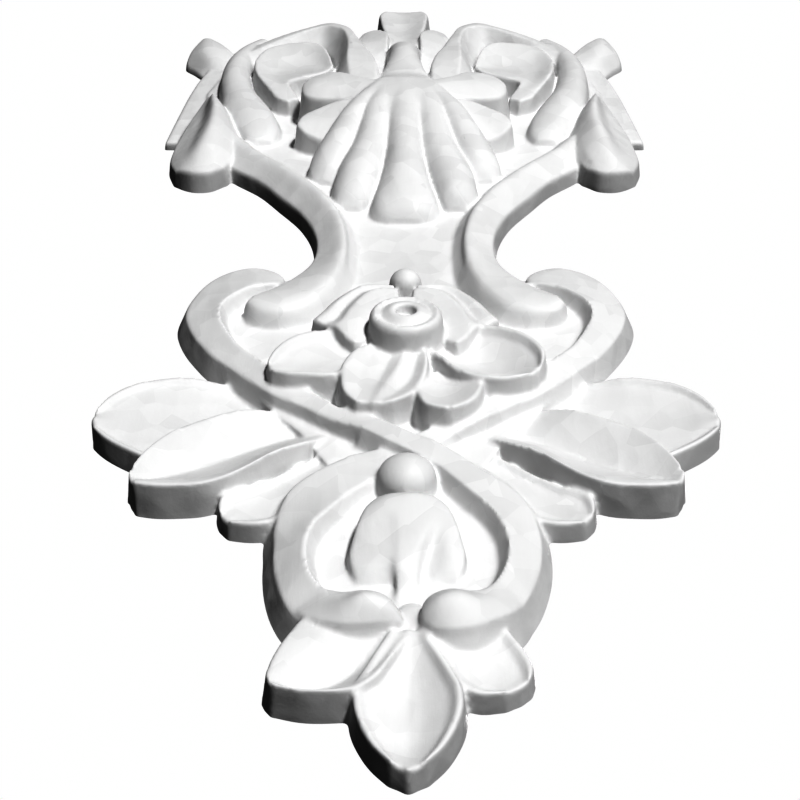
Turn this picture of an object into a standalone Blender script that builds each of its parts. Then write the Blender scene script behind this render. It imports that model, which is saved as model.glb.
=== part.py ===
"""Carved onlay for a wall or a door panel: scrolled bands, leaves, a flower, a bud and a shell crown.

Drawn in millimetres as a relief: across the onlay, up the onlay, and height above its flat back.
The relief then stands upright with its back on the plane Y = 0 and its face towards -Y.
"""

import math

import bmesh
import bpy

MM = 0.001

# Driving dimensions, in millimetres
HEIGHT = 300.0
FIELD = 2.8
BAND_EDGE = 4.2
BAND_RIDGE = 6.2
NECK_RIDGE = 6.8
BELOW_BACK = -2.0

# Slope of the walls, in degrees from upright
DRAFT = 12.0
SOFT_DRAFT = 26.0
WIDE_DRAFT = 26.0

# Width and depth of the rounding along every rim
EASE = 0.9
EASE_DEPTH = 0.6

# Fineness of the carving
VOXEL = 0.6
SMOOTH_PASSES = 4
TRIANGLES = 8600


def curve_through(points, count):
    """Give count + 1 places, evenly spaced, on a smooth curve through the points."""
    spans = [math.dist(a, b) + 1e-6 for a, b in zip(points, points[1:])]
    total = sum(spans)
    places = []
    for step in range(count + 1):
        reach = total * step / count
        index = 0
        while index < len(spans) - 1 and reach > spans[index]:
            reach -= spans[index]
            index += 1
        t = min(reach / spans[index], 1.0)
        before = points[max(index - 1, 0)]
        start = points[index]
        end = points[index + 1]
        after = points[min(index + 2, len(points) - 1)]
        places.append(tuple(catmull(a, b, c, d, t) for a, b, c, d in zip(before, start, end, after)))
    return places


def catmull(a, b, c, d, t):
    """Blend four values so that the curve runs through the middle two."""
    bend = 2 * a - 5 * b + 4 * c - d
    swing = 3 * (b - c) + d - a
    return b + 0.5 * t * (c - a + t * (bend + t * swing))


def line_through(points, count):
    """Give count + 1 places on the straight runs between the points."""
    places = []
    for step in range(count + 1):
        reach = (len(points) - 1) * step / count
        index = min(int(reach), len(points) - 2)
        t = reach - index
        places.append(tuple(a + (b - a) * t for a, b in zip(points[index], points[index + 1])))
    return places


def unit(u, v):
    """Scale a plan direction to length one."""
    length = math.hypot(u, v)
    if length < 1e-6:
        return 0.0, 0.0
    return u / length, v / length


def outward(rail, other):
    """Give the plan direction that leaves the shape, at each place of a side rail."""
    ways = []
    lean = 0.0
    for index, place in enumerate(rail):
        before = rail[max(index - 1, 0)]
        after = rail[min(index + 1, len(rail) - 1)]
        u, v = unit(after[0] - before[0], after[1] - before[1])
        ways.append((-v, u))
        lean += -v * (place[0] - other[index][0]) + u * (place[1] - other[index][1])
    side = 1.0 if lean >= 0 else -1.0
    return [(side * u, side * v) for u, v in ways]


def between(a, b, t):
    """Give the place at the share t of the way from a to b."""
    return tuple(p + (q - p) * t for p, q in zip(a, b))


def inset(a, b):
    """Give the place just inside the rim place a, towards its neighbour b."""
    return between(a, b, min(EASE / max(math.dist(a[:2], b[:2]), EASE), 0.45))


def lowered(place):
    """Give a rim place lowered by the rounding."""
    return place[0], place[1], place[2] - EASE_DEPTH


def eased(row):
    """Round off both ends of a row of places."""
    head = [lowered(row[0]), inset(row[0], row[1])]
    tail = [inset(row[-1], row[-2]), lowered(row[-1])]
    return head + row[1:-1] + tail


def eased_rows(rows):
    """Round off the first and the last row of places."""
    head = [[lowered(a) for a in rows[0]], [inset(a, b) for a, b in zip(rows[0], rows[1])]]
    tail = [[inset(a, b) for a, b in zip(rows[-1], rows[-2])], [lowered(a) for a in rows[-1]]]
    return head + rows[1:-1] + tail


def loft(bm, rails, along=24, across=8, crisp=False, drafts=(DRAFT, DRAFT)):
    """Carve one form: a skin over the rails, with sloping walls down past the back."""
    runs = [curve_through(rail, along) for rail in rails]
    spread = line_through if crisp else curve_through
    rows = [spread([run[index] for run in runs], across) for index in range(along + 1)]
    rows = eased_rows([eased(row) for row in rows])
    along += 2
    across += 2
    runs = [row[0] for row in rows], [row[-1] for row in rows]
    sides = outward(runs[0], runs[-1]), outward(runs[-1], runs[0])
    middle = across // 2
    first = unit(rows[0][middle][0] - rows[1][middle][0], rows[0][middle][1] - rows[1][middle][1])
    last = unit(rows[-1][middle][0] - rows[-2][middle][0], rows[-1][middle][1] - rows[-2][middle][1])

    made = bmesh.ops.create_grid(bm, x_segments=across, y_segments=along, size=1.0)
    for vert in made["verts"]:
        row = round((vert.co.y + 1.0) / 2.0 * along)
        column = round((vert.co.x + 1.0) / 2.0 * across)
        vert.co = rows[row][column]
        vert.index = row * (across + 1) + column
    faces = list({face for vert in made["verts"] for face in vert.link_faces})
    tag = bm.verts.layers.int["place"]
    for vert in made["verts"]:
        vert[tag] = vert.index
    walls = bmesh.ops.extrude_face_region(bm, geom=faces)
    for vert in [item for item in walls["geom"] if isinstance(item, bmesh.types.BMVert)]:
        row, column = divmod(vert[tag], across + 1)
        edges = (0, sides[0][row], drafts[0]), (across, sides[1][row], drafts[1])
        leans = [(way, draft) for edge, way, draft in edges if column == edge]
        leans += [(way, DRAFT) for end, way in ((0, first), (along, last)) if row == end]
        reach = (vert.co.z - BELOW_BACK) / math.sqrt(max(len(leans), 1))
        u = reach * sum(way[0] * math.tan(math.radians(draft)) for way, draft in leans)
        v = reach * sum(way[1] * math.tan(math.radians(draft)) for way, draft in leans)
        vert.co = (vert.co.x + u, vert.co.y + v, BELOW_BACK)


TUBE_PROFILE = ((-1.0, 0.0), (-0.8, 0.62), (-0.4, 0.93), (0.0, 1.0), (0.4, 0.93), (0.8, 0.62), (1.0, 0.0))


def tube(path):
    """Give the rails of a round-topped band along a path of (u, v, half width, crest, edge height)."""
    rails = []
    for offset, share in TUBE_PROFILE:
        rail = []
        for index, (u, v, half, crest, edge) in enumerate(path):
            before = path[max(index - 1, 0)]
            after = path[min(index + 1, len(path) - 1)]
            du, dv = unit(after[0] - before[0], after[1] - before[1])
            rail.append((u + dv * half * offset, v - du * half * offset, edge + (crest - edge) * share))
        rails.append(rail)
    return rails


def dished(far, middle, near, rim=1.4, depth=0.7):
    """Give the rails of a leaf whose inside lies below a narrow rim."""
    far, middle, near = [curve_through(rail, 18) for rail in (far, middle, near)]
    shelves = []
    for edge in (far, near):
        shelf = []
        for place, inside in zip(edge, middle):
            reach = max(math.dist(place[:2], inside[:2]), rim)
            u, v, z = between(place, inside, min(rim / reach, 0.4))
            shelf.append((u, v, z - depth * min(reach / rim - 1.0, 1.0)))
        shelves.append(shelf)
    return [far, shelves[0], middle, shelves[1], near]


def mirrored(rails):
    """Reflect rails from the left half to the right half."""
    return [[(-u, v, z) for u, v, z in rail] for rail in rails]


def pair(bm, rails, **how):
    """Carve a form and its reflection."""
    loft(bm, rails, **how)
    loft(bm, mirrored(rails), **how)


def dome(bm, centre, radii, shoulder, top, draft=DRAFT):
    """Carve a bead: a rounded cap on a steep wall."""
    made = bmesh.ops.create_uvsphere(bm, u_segments=24, v_segments=16, radius=1.0)
    flare = math.tan(math.radians(draft)) * (shoulder - BELOW_BACK)
    for vert in made["verts"]:
        u, v, z = vert.co
        if z >= -1e-4:
            vert.co = (centre[0] + u * radii[0], centre[1] + v * radii[1], shoulder + z * (top - shoulder))
        else:
            reach = max(math.hypot(u, v), 1e-6)
            wide = (radii[0] + flare) * min(reach * 1.6, 1.0) / reach
            deep = (radii[1] + flare) * min(reach * 1.6, 1.0) / reach
            vert.co = (centre[0] + u * wide, centre[1] + v * deep, BELOW_BACK)


def ring(bm, centre, profile):
    """Carve a turned boss from its profile of (radius, height) points."""
    start = [bm.verts.new((centre[0] + radius, centre[1], z)) for radius, z in profile]
    edges = [bm.edges.new(ends) for ends in zip(start, start[1:])]
    bmesh.ops.spin(bm, geom=start + edges, cent=(centre[0], centre[1], 0.0), axis=(0.0, 0.0, 1.0),
                   angle=2 * math.pi, steps=32, use_merge=True)


def plate(bm, half_outline, top):
    """Carve the flat field between the forms, from the left half of its outline."""
    outline = half_outline + [(-u, v) for u, v in reversed(half_outline) if u]
    face = bm.faces.new([bm.verts.new((u, v, top)) for u, v in outline])
    walls = bmesh.ops.extrude_face_region(bm, geom=[face])
    for vert in [item for item in walls["geom"] if isinstance(item, bmesh.types.BMVert)]:
        vert.co.z = BELOW_BACK


def field(bm):
    """The low ground inside the bands and under the crown."""
    plate(bm, [(0, -124), (-10, -122), (-17, -113), (-18.5, -100), (-11, -84), (-20, -70), (-36, -48),
               (-40.5, -30), (-35, -15), (-25, -14), (-16, -6), (-16, 6), (-22, 18), (-34, 34), (-44, 48),
               (-50, 66), (-52, 92), (-48, 110), (-34, 115), (-20, 118), (-12, 124), (0, 126)], FIELD)


def upper_bands(bm):
    """The pair of bands that run in from the crown to the neck and out to blunt ends."""
    outer = [(-46, 49, 3.5), (-39.9, 40.5, 3.6), (-33.3, 33.1, 3.6), (-28.3, 25, 3.6), (-22.4, 14.5, 3.8),
             (-19.5, 5, 4), (-18.9, -3, 4.2), (-19.8, -9.5, 4.5), (-22, -14.5, 4.8), (-25.5, -20.5, 5.5),
             (-30.3, -26.6, 6.4)]
    ridge = [(-41, 56, 6), (-36, 47, 6.3), (-29.7, 38.5, 6.5), (-24.7, 31.4, 6.6), (-19.8, 23, 6.8),
             (-14.8, 9.8, NECK_RIDGE), (-13.3, 0.9, NECK_RIDGE), (-13.4, -7.6, NECK_RIDGE),
             (-14.7, -14.3, NECK_RIDGE), (-17.1, -19.5, NECK_RIDGE), (-20.9, -23.7, NECK_RIDGE),
             (-24.7, -25.8, NECK_RIDGE), (-30.5, -27.5, 6.7)]
    slope = [(-39.5, 57, 4.5), (-34.5, 48, 4.5), (-28, 40, 4.6), (-23, 33, 4.7), (-18, 24.2, 4.6),
             (-13, 10.8, 4.6), (-11.8, 2, 4.6), (-11.5, -8, 4.6), (-12.2, -16, 5.2), (-15.4, -24.6, 5.9),
             (-19.6, -30.4, 6.2), (-25, -32.4, 6.2), (-29.4, -31.2, 6.3), (-31.2, -28.4, 6.4)]
    foot = [(-38, 58, 2.6), (-33, 49.5, 2.6), (-26.2, 41.5, 2.6), (-21, 34.5, 2.6), (-16, 25.2, 2.6),
            (-11.3, 11.5, 2.6), (-10, 3, 2.6), (-9.6, -7, 2.6), (-10.2, -16, 2.6), (-13.6, -25.8, 2.6),
            (-18.8, -32.4, 3), (-25.2, -34.2, 3), (-30.6, -32.4, 3), (-31.9, -28.5, 4.5)]
    pair(bm, [outer, ridge, slope, foot], along=44, across=12, crisp=True)


ARC_OUTER = [(-24.5, -15.7, 4.6), (-26.3, -13, 4.5), (-29, -11, 4.4), (-32.2, -10.6, 4.4),
             (-35.4, -11.8, 4.3), (-38.3, -14.3, BAND_EDGE), (-40.7, -18.3, BAND_EDGE),
             (-42.2, -22.7, BAND_EDGE), (-43.1, -27, BAND_EDGE), (-43.1, -31, BAND_EDGE),
             (-42.4, -34, BAND_EDGE), (-40.7, -38.6, BAND_EDGE), (-38.2, -43.3, 4.3), (-35.6, -47.4, 4.4),
             (-32.8, -50.6, 4.5), (-28.7, -55.5, 4.8), (-23.2, -61.4, 5.1), (-19, -64.6, 5.4),
             (-11.9, -70.4, 5.7)]
ARC_RIDGE = [(-24.5, -19.5, 5.4), (-27.8, -20.8, 6), (-30.8, -22.4, BAND_RIDGE), (-33, -24.6, BAND_RIDGE),
             (-35, -27.4, BAND_RIDGE), (-35.9, -30.6, BAND_RIDGE), (-35.6, -34, BAND_RIDGE),
             (-34.2, -38, BAND_RIDGE), (-32.4, -42.2, BAND_RIDGE), (-30.2, -45.8, BAND_RIDGE),
             (-27.6, -48.8, BAND_RIDGE), (-25, -52, BAND_RIDGE), (-20.4, -57.2, 6.1), (-15, -62.6, 6),
             (-10.7, -66.7, 6)]
LEFT_LOOP_OUTER = [(-9.4, -79.8, 5.4), (-11.2, -80.9, 5.3), (-14.5, -83.3, 5), (-17.7, -86.5, 4.8),
                   (-19.3, -89, 4.6), (-20.2, -91.9, 4.4), (-20.9, -96.4, 4), (-21.1, -99, 3.8),
                   (-20.9, -102.1, 3.6), (-20.7, -105.8, 3.5), (-19.9, -110.6, 3.5), (-18.5, -115.3, 3.5),
                   (-16.2, -119.8, 3.5), (-11, -124.2, 3.8)]
LEFT_LOOP_RIDGE = [(-3.9, -85.2, 5.2), (-9, -91, 5.6), (-12.1, -95.7, 6), (-14.3, -99.3, BAND_RIDGE),
                   (-15.2, -103.1, BAND_RIDGE), (-15.1, -108, BAND_RIDGE), (-14.2, -111.6, BAND_RIDGE),
                   (-12.1, -115.1, BAND_RIDGE), (-9.2, -117.2, BAND_RIDGE), (-6, -118.4, BAND_RIDGE)]
RIGHT_LOOP_OUTER = [(8.5, -80.4, 6.3), (12.2, -84.4, 6), (15.5, -87.2, 5.5), (17.9, -89.6, 5),
                    (19.5, -92, 4.5), (20.7, -96.4, 4), (21.1, -101, 3.7), (20.8, -105.7, 3.5),
                    (19.6, -110.5, 3.5), (17.8, -115.2, 3.5), (14.6, -120.4, 3.5), (10, -124.2, 3.8)]
RIGHT_LOOP_RIDGE = [(4.7, -83.6, BAND_RIDGE), (7.1, -86.8, BAND_RIDGE), (10.1, -91.2, BAND_RIDGE),
                    (13, -95.4, BAND_RIDGE), (14.5, -98.8, BAND_RIDGE), (15.3, -103.1, BAND_RIDGE),
                    (15.2, -106.8, BAND_RIDGE), (14.3, -110.4, BAND_RIDGE), (12.9, -113.4, BAND_RIDGE),
                    (10.4, -116.2, BAND_RIDGE), (7, -118, BAND_RIDGE)]


def scroll(bm, side, height, ridge, outer):
    """One lower scroll: it arcs, runs down across the middle and closes half of the lower loop."""
    start, crest = [[(side * u, v, z) for u, v, z in rail] for rail in (ARC_OUTER, ARC_RIDGE)]
    low = [(side * u, v, height) for u, v in ((-8, -73.2), (-2.9, -77.5), (1.3, -80.9))]
    high = [(side * u, v, height) for u, v in ((-4.6, -70.3), (1.3, -74.8), (5.6, -77.6))]
    drafts = (WIDE_DRAFT, SOFT_DRAFT)
    loft(bm, [start + low[:2], crest + high[:2]], along=44, across=6, crisp=True, drafts=drafts)
    loft(bm, [low + ridge, high + outer], along=40, across=6, crisp=True, drafts=drafts[::-1])


def lower_scrolls(bm):
    """The two lower scrolls, the left one passing over the right one."""
    scroll(bm, -1.0, 4.9, LEFT_LOOP_RIDGE, LEFT_LOOP_OUTER)
    scroll(bm, 1.0, 6.5, RIGHT_LOOP_RIDGE, RIGHT_LOOP_OUTER)


def curled_ends(bm):
    """The swollen ends of the loop, which curl in to the middle."""
    drafts = (DRAFT, SOFT_DRAFT)
    far = [(-14.4, -111.4, 4.6), (-12.1, -115.1, 6.1), (-9.1, -116.2, 6.3), (-5.9, -116.5, 6.8),
           (-3.4, -117.5, 6.8), (-1.5, -119.5, 6.2), (-0.6, -121.2, 5.4)]
    crest = [(-16.4, -113, 4.2), (-13.6, -118, 5.6), (-9.8, -119.6, 7.2), (-6.4, -119.8, 8.6),
             (-3.6, -120.2, 8), (-1.6, -121, 6.6), (-0.6, -121.8, 5.2)]
    near = [(-18.2, -114.6, 2.8), (-15.6, -120, 5), (-12.4, -122.4, 5.8), (-8.8, -123.4, 6),
            (-5.4, -123.2, 6), (-2.4, -122.6, 5.6), (-0.6, -122.2, 5)]
    loft(bm, [far, crest, near], along=18, across=10, drafts=drafts)
    far = [(14.8, -110.6, 4.6), (12.9, -114, 6.2), (9.6, -116.1, 6.4), (6.6, -116.3, 6.9), (4.2, -117.2, 7),
           (2.6, -118.6, 6.8), (1.9, -120, 6.2)]
    crest = [(16.6, -112, 4.2), (14.2, -117, 5.8), (10.6, -119.4, 7.4), (7, -120, 8.9), (4.6, -120.6, 8.6),
             (2.9, -121.2, 7.6), (1.8, -121.6, 6.4)]
    near = [(18.2, -113.6, 2.8), (15.8, -119.2, 5), (12.4, -122.4, 6), (9, -124.4, 6.2), (6, -124.8, 6.2),
            (3.4, -124, 6), (1.9, -122.6, 5.8)]
    loft(bm, [far, crest, near], along=18, across=10, drafts=drafts)


def side_leaves(bm):
    """Three leaves that fan out from under the scroll on each side."""
    far = [(-24, -52, 2), (-30, -52.2, 2.4), (-35, -52.4, 3), (-39.6, -52.9, 3.6), (-44.1, -54.1, 4),
           (-47.7, -55.5, 4.2), (-50.4, -57.5, 4.3), (-52.7, -60.6, 4.4), (-54.2, -64.6, 4.4)]
    middle = [(-20, -58, 1.4), (-27, -59.6, 1.7), (-33, -61.4, 2.2), (-39, -63, 2.7), (-44, -64.4, 3),
              (-48.5, -65.6, 3.3), (-52.2, -66.8, 3.9), (-54.5, -67.4, 4.4)]
    near = [(-18, -66, 1.8), (-26, -74, 2.4), (-34, -80, 3), (-41, -80.4, 4), (-44.8, -78.4, 4.4),
            (-48.9, -75.6, 4.5), (-52, -72.8, 4.5), (-53.8, -70.2, 4.5)]
    pair(bm, dished(far, middle, near, 1.4, 1), along=20, across=16)
    far = [(-14, -62, 2), (-20, -62, 2.4), (-24.1, -62.8, 3.6), (-27.4, -64.6, 5), (-30.8, -66.8, 5.8),
           (-34, -69, 6.1), (-37.4, -71.4, 6.2), (-39.9, -73.6, 6.3), (-42.1, -76.6, 6.3),
           (-43.9, -80, 6.3), (-44.9, -83, 6.3), (-45.4, -86.4, 6.3)]
    valley = [(-12, -64, 1.8), (-16, -67.4, 2), (-19.5, -69.4, 2), (-23.5, -72, 2), (-28, -75.2, 2.1),
              (-32, -78.2, 2.4), (-36, -81.4, 2.9), (-40, -84.6, 3.8), (-43.4, -86.8, 5), (-45.2, -87.4, 6)]
    inner = [(-12.4, -67.4, 1.9), (-15.2, -71, 2.6), (-18.4, -74.2, 3.3), (-22, -77.4, 3.9),
             (-25.6, -81.2, 4.2), (-29.8, -85, 4.4), (-33.6, -86.8, 4.7), (-37, -87.3, 5),
             (-41, -87.8, 5.5), (-44.8, -88.3, 6.1)]
    near = [(-12.4, -69, 2), (-15, -72.8, 3.6), (-18, -76.2, 5.2), (-22, -79.9, 6.1), (-25.8, -84, 6.3),
            (-30.3, -87.9, 6.4), (-33.6, -89.4, 6.4), (-37, -89.8, 6.4), (-41, -89.8, 6.4),
            (-44.2, -89.1, 6.3)]
    pair(bm, [far, valley, inner, near], along=30, across=16)
    far = [(-8, -70, 1.8), (-14, -74, 2), (-20, -80, 2.4), (-26, -85.6, 3), (-30.2, -88.8, 3.5),
           (-30.4, -91.8, 3.5), (-29.8, -94, 3.5)]
    middle = [(-7, -74, 1.8), (-13, -78, 1.9), (-19, -84, 2.2), (-24, -89.4, 2.4), (-27, -92.6, 2.8),
              (-29.1, -95, 3.4)]
    near = [(-5, -77, 2.2), (-11, -80.5, 3.4), (-15.4, -86, 4), (-18.4, -92, 3.8), (-20.4, -95.4, 3.6),
            (-24.9, -96.6, 3.6), (-28.3, -96, 3.5)]
    pair(bm, dished(far, middle, near, 1.2, 0.5), along=18, across=12)


def flower(bm):
    """Petals around a turned boss, over the inner sides of the scrolls."""
    dome(bm, (0, -44), (8, 8), 5, 6.4)
    far = [(-4, -40, 6.8), (-12, -41, 7.2), (-18.3, -43.3, 8.2), (-21.6, -46.2, 8.5), (-24.2, -50.8, 8.6),
           (-25, -54.6, 8.7)]
    middle = [(-4, -45, 5.8), (-11, -49, 5.8), (-17, -52.8, 6.4), (-21, -55.4, 7.2), (-24.6, -57, 8.5)]
    near = [(-4, -52, 6.4), (-9, -57.2, 7.6), (-13, -59.4, 8.4), (-17.4, -59.6, 8.7), (-21.8, -59, 8.7),
            (-24, -58, 8.7)]
    loft(bm, dished(far, middle, near, 1.5, 0.8), along=18, across=14)
    far = [(4, -36, 6.6), (12, -40, 7.8), (18.6, -42.8, 8.9), (21.6, -45.2, 9.2), (24.1, -48.6, 9.3),
           (25.2, -52.4, 9.4), (24.6, -56.4, 9.4)]
    middle = [(4, -43, 5.8), (10, -48, 5.8), (15, -52.6, 6.4), (19, -56.6, 7.4), (23, -59.2, 9.1)]
    near = [(2, -47.5, 7), (5.8, -52.8, 8.2), (8.4, -58, 8.9), (11.2, -60.7, 9.3), (14, -61.8, 9.4),
            (18.3, -61.9, 9.4), (22.2, -60, 9.4)]
    loft(bm, dished(far, middle, near, 1.5, 0.8), along=20, across=14)
    left = [(2, -52, 6), (2.4, -60, 7.8), (1.8, -65.4, 8.7), (3.2, -69.4, 9), (7, -71, 9)]
    middle = [(6, -54, 5.4), (6.6, -60, 6.6), (7, -65, 7.6), (7.4, -70.2, 8.8)]
    right = [(11, -55, 6), (13.4, -61, 8.6), (13, -65.4, 9), (11, -68.8, 9), (7.6, -71, 9)]
    loft(bm, [left, middle, right], along=16, across=8)
    rim = [(-6, -46, 7.6), (-9.8, -51.1, 8.7), (-11.6, -56, 8.8), (-11.7, -60.6, 8.8), (-10.9, -65, 8.7),
           (-8.7, -68.3, 8.6)]
    dish = [(-4.4, -47, 7.2), (-6.4, -51.6, 7.6), (-7.6, -56, 7.7), (-8.1, -60.4, 7.8), (-8.2, -64.4, 8),
            (-7.8, -68.3, 8.4)]
    fold = [(-1.8, -48, 6.2), (-3, -52.6, 6.2), (-4, -56.6, 6.3), (-5, -60.6, 6.7), (-5.8, -64.6, 7.4),
            (-6.5, -68.5, 8.3)]
    ridge = [(-0.9, -48, 7.8), (-1.9, -52.6, 8.2), (-2.9, -56.8, 8.3), (-4, -61, 8.3), (-5, -65, 8.4),
             (-5.8, -68.8, 8.5)]
    hollow = [(1, -48, 7), (1, -52.6, 6.8), (0.6, -57, 6.8), (-0.6, -61.2, 7), (-2.4, -64.8, 7.6),
              (-4.6, -68.6, 8.4)]
    edge = [(3.2, -48, 8.2), (3.9, -52.6, 8.7), (3.8, -57, 8.8), (2.9, -61.6, 8.8), (1.1, -65.5, 8.7),
            (-2.4, -68.2, 8.6)]
    loft(bm, [rim, dish, fold, ridge, hollow, edge], along=20, across=15, crisp=True)
    edge = [(-2, -26.6, 8.4), (-5.4, -26.1, 8.6), (-8.3, -25.9, 8.4), (-11.2, -28, 8.1), (-14.1, -31.8, 8),
            (-16, -35.8, 8), (-17.8, -39.2, 8.1)]
    strip = [(-2, -27.4, 9.2), (-5.6, -27.1, 9.4), (-8.4, -27.5, 9.2), (-11, -30, 9), (-13.4, -33.7, 8.8),
             (-15, -37.2, 8.7), (-16.9, -40, 8.4)]
    fold = [(-2, -28.4, 8.6), (-4.6, -28.4, 8.6), (-7.8, -29, 8.5), (-10.3, -31.9, 8.1),
            (-11.9, -35.1, 7.9), (-13.4, -39.1, 7.9), (-15.4, -40.9, 8.1)]
    body = [(-1.4, -29.4, 9.8), (-4, -29.5, 9.9), (-6.8, -30.7, 9.9), (-9, -33.7, 9.6), (-10.6, -37.1, 9.4),
            (-12, -41.2, 9.2), (-13.2, -43, 9)]
    shelf = [(-1, -33, 9.2), (-3.4, -33.4, 9.2), (-5.6, -35, 9.1), (-7.4, -38, 9), (-8.8, -41, 8.9),
             (-10.2, -44.6, 8.8), (-11.3, -46.4, 8.7)]
    root = [(0, -37, 8), (-2.4, -37.4, 8), (-4, -39, 8), (-5.4, -41.4, 8), (-6.6, -44, 8), (-7.8, -47, 8.2),
            (-9.4, -48.4, 8.4)]
    pair(bm, [edge, strip, fold, body, shelf, root], along=16, across=20, crisp=True)
    profile = [(0, BELOW_BACK), (8.2, BELOW_BACK), (7.3, 6.4), (7, 9), (6.8, 11.4), (6.4, 12.3), (5.8, 12.6),
               (5.2, 12.3), (4.8, 12), (4.2, 12.4), (3.2, 13), (2.4, 13.2), (1.9, 12.9), (1.7, 10.8), (0, 10.6)]
    ring(bm, (0, -44), profile)
    dome(bm, (0, -23.5), (3.2, 3.2), 7.4, 10.4)


def bud(bm):
    """The bead and the closed bud inside the loop."""
    dome(bm, (0, -86.5), (4.8, 4.8), 5.4, 9.0)
    side = [(-3.6, -92.2, 4.8), (-4.8, -94.4, 7), (-6.4, -96.6, 7.3), (-7.6, -99.6, 6.8), (-8.4, -103, 6.1),
            (-8.9, -106.6, 5.3), (-8.5, -110.2, 4.7)]
    cheek = [(-2.6, -92, 5), (-3.4, -94.4, 7.7), (-4.6, -97, 7.9), (-5.4, -100.4, 7.3), (-5.8, -104, 6.6),
             (-5.8, -107.4, 5.7), (-5.6, -110.6, 4.9)]
    flank = [(-1.3, -91.8, 5), (-1.8, -94.4, 8), (-2.4, -97.4, 8.2), (-2.7, -101, 7.5), (-2.9, -104.8, 6.8),
             (-2.8, -107.8, 6), (-2.4, -110.4, 5)]
    tail = [(-0.4, -91.8, 5), (-0.6, -94.4, 8.1), (-0.8, -97.6, 8.3), (-0.9, -101.6, 7.7), (-1, -105.6, 7),
            (-1, -109.4, 5.8), (-1, -112, 4.5), (-1, -114.4, 3.3), (-1, -116.6, 2.5)]
    right_tail = [(0.9, -91.8, 5), (1.4, -94.4, 8.1), (2.2, -97.6, 8.2), (2.8, -101.4, 7.7), (2, -104.8, 7),
                  (1, -108, 6.1), (0.9, -111.2, 4.8), (0.9, -114, 3.4), (0.9, -116.6, 2.5)]
    notch = [(2.2, -92, 5), (2.9, -94.4, 7.8), (3.8, -97.2, 8), (4.4, -101.2, 7.4), (3.9, -104.6, 5.8),
             (2.8, -107.6, 4.3), (2.4, -110, 3.4), (2.4, -112, 2.7)]
    right_cheek = [(3, -92.1, 5), (4, -94.4, 7.5), (5, -97, 7.7), (5.8, -100.4, 7.1), (6.2, -104, 6.4),
                   (6.2, -107.4, 5.4), (6, -110.6, 4.4)]
    loft(bm, [side, cheek, flank, tail, right_tail, notch, right_cheek] + mirrored([side]),
                along=20, across=24)


def foot_leaves(bm):
    """The three leaves at the lower end, the left one larger than the right one."""
    left = [(-2.5, -123, 5), (-5.5, -129.6, 5.2), (-7.5, -135.2, 4.9), (-7.3, -139, 4.7), (-6.3, -142, 4.5),
            (-4.6, -145.2, 4.3), (-2.3, -147.9, 4.2)]
    middle = [(0, -123, 5.2), (0, -130, 3.4), (0, -138, 2.8), (0, -144, 3), (0, -149.2, 4.1)]
    loft(bm, dished(left, middle, mirrored([left])[0], 1.2, 0.4), along=20, across=12)
    edge = [(-14.4, -118.8, 4.6), (-15.9, -121.8, 5.2), (-17.1, -124.4, 5.4), (-18.3, -127.6, 5.5),
            (-19.2, -130.6, 5.6), (-19.6, -133, 5.6)]
    valley = [(-6, -121.6, 4.2), (-9, -125, 3.4), (-11.6, -127.8, 3), (-13.8, -129.8, 2.8),
              (-15.8, -131.4, 3), (-17.6, -132.8, 3.9), (-19.3, -133.9, 5.5)]
    inner = [(-1.4, -124, 4.2), (-4, -128, 4), (-6.8, -131.2, 3.8), (-9.8, -133.2, 3.8), (-13, -134, 4),
             (-16.2, -134.4, 4.5), (-18.9, -134.6, 5.5)]
    near = [(0.2, -124.5, 5), (-2.2, -129.2, 5.6), (-4.6, -133.5, 5.8), (-7.2, -135.6, 5.8),
            (-10.6, -136.1, 5.8), (-14.6, -136, 5.8), (-18.2, -135.2, 5.7)]
    loft(bm, [edge, valley, inner, near], along=20, across=12)
    edge = [(12, -118, 4.2), (14, -122.6, 3.9), (16.4, -127, 3.6), (17.4, -131.4, 3.5), (16, -133.8, 3.5)]
    middle = [(7, -120, 4.2), (9, -125, 3.4), (11, -130, 2.9), (12.4, -133.9, 3.2)]
    near = [(2, -121, 4.6), (4.6, -128, 4.2), (7, -132.8, 3.7), (8.6, -134.7, 3.5)]
    loft(bm, [edge, middle, near], along=12, across=6)


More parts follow.
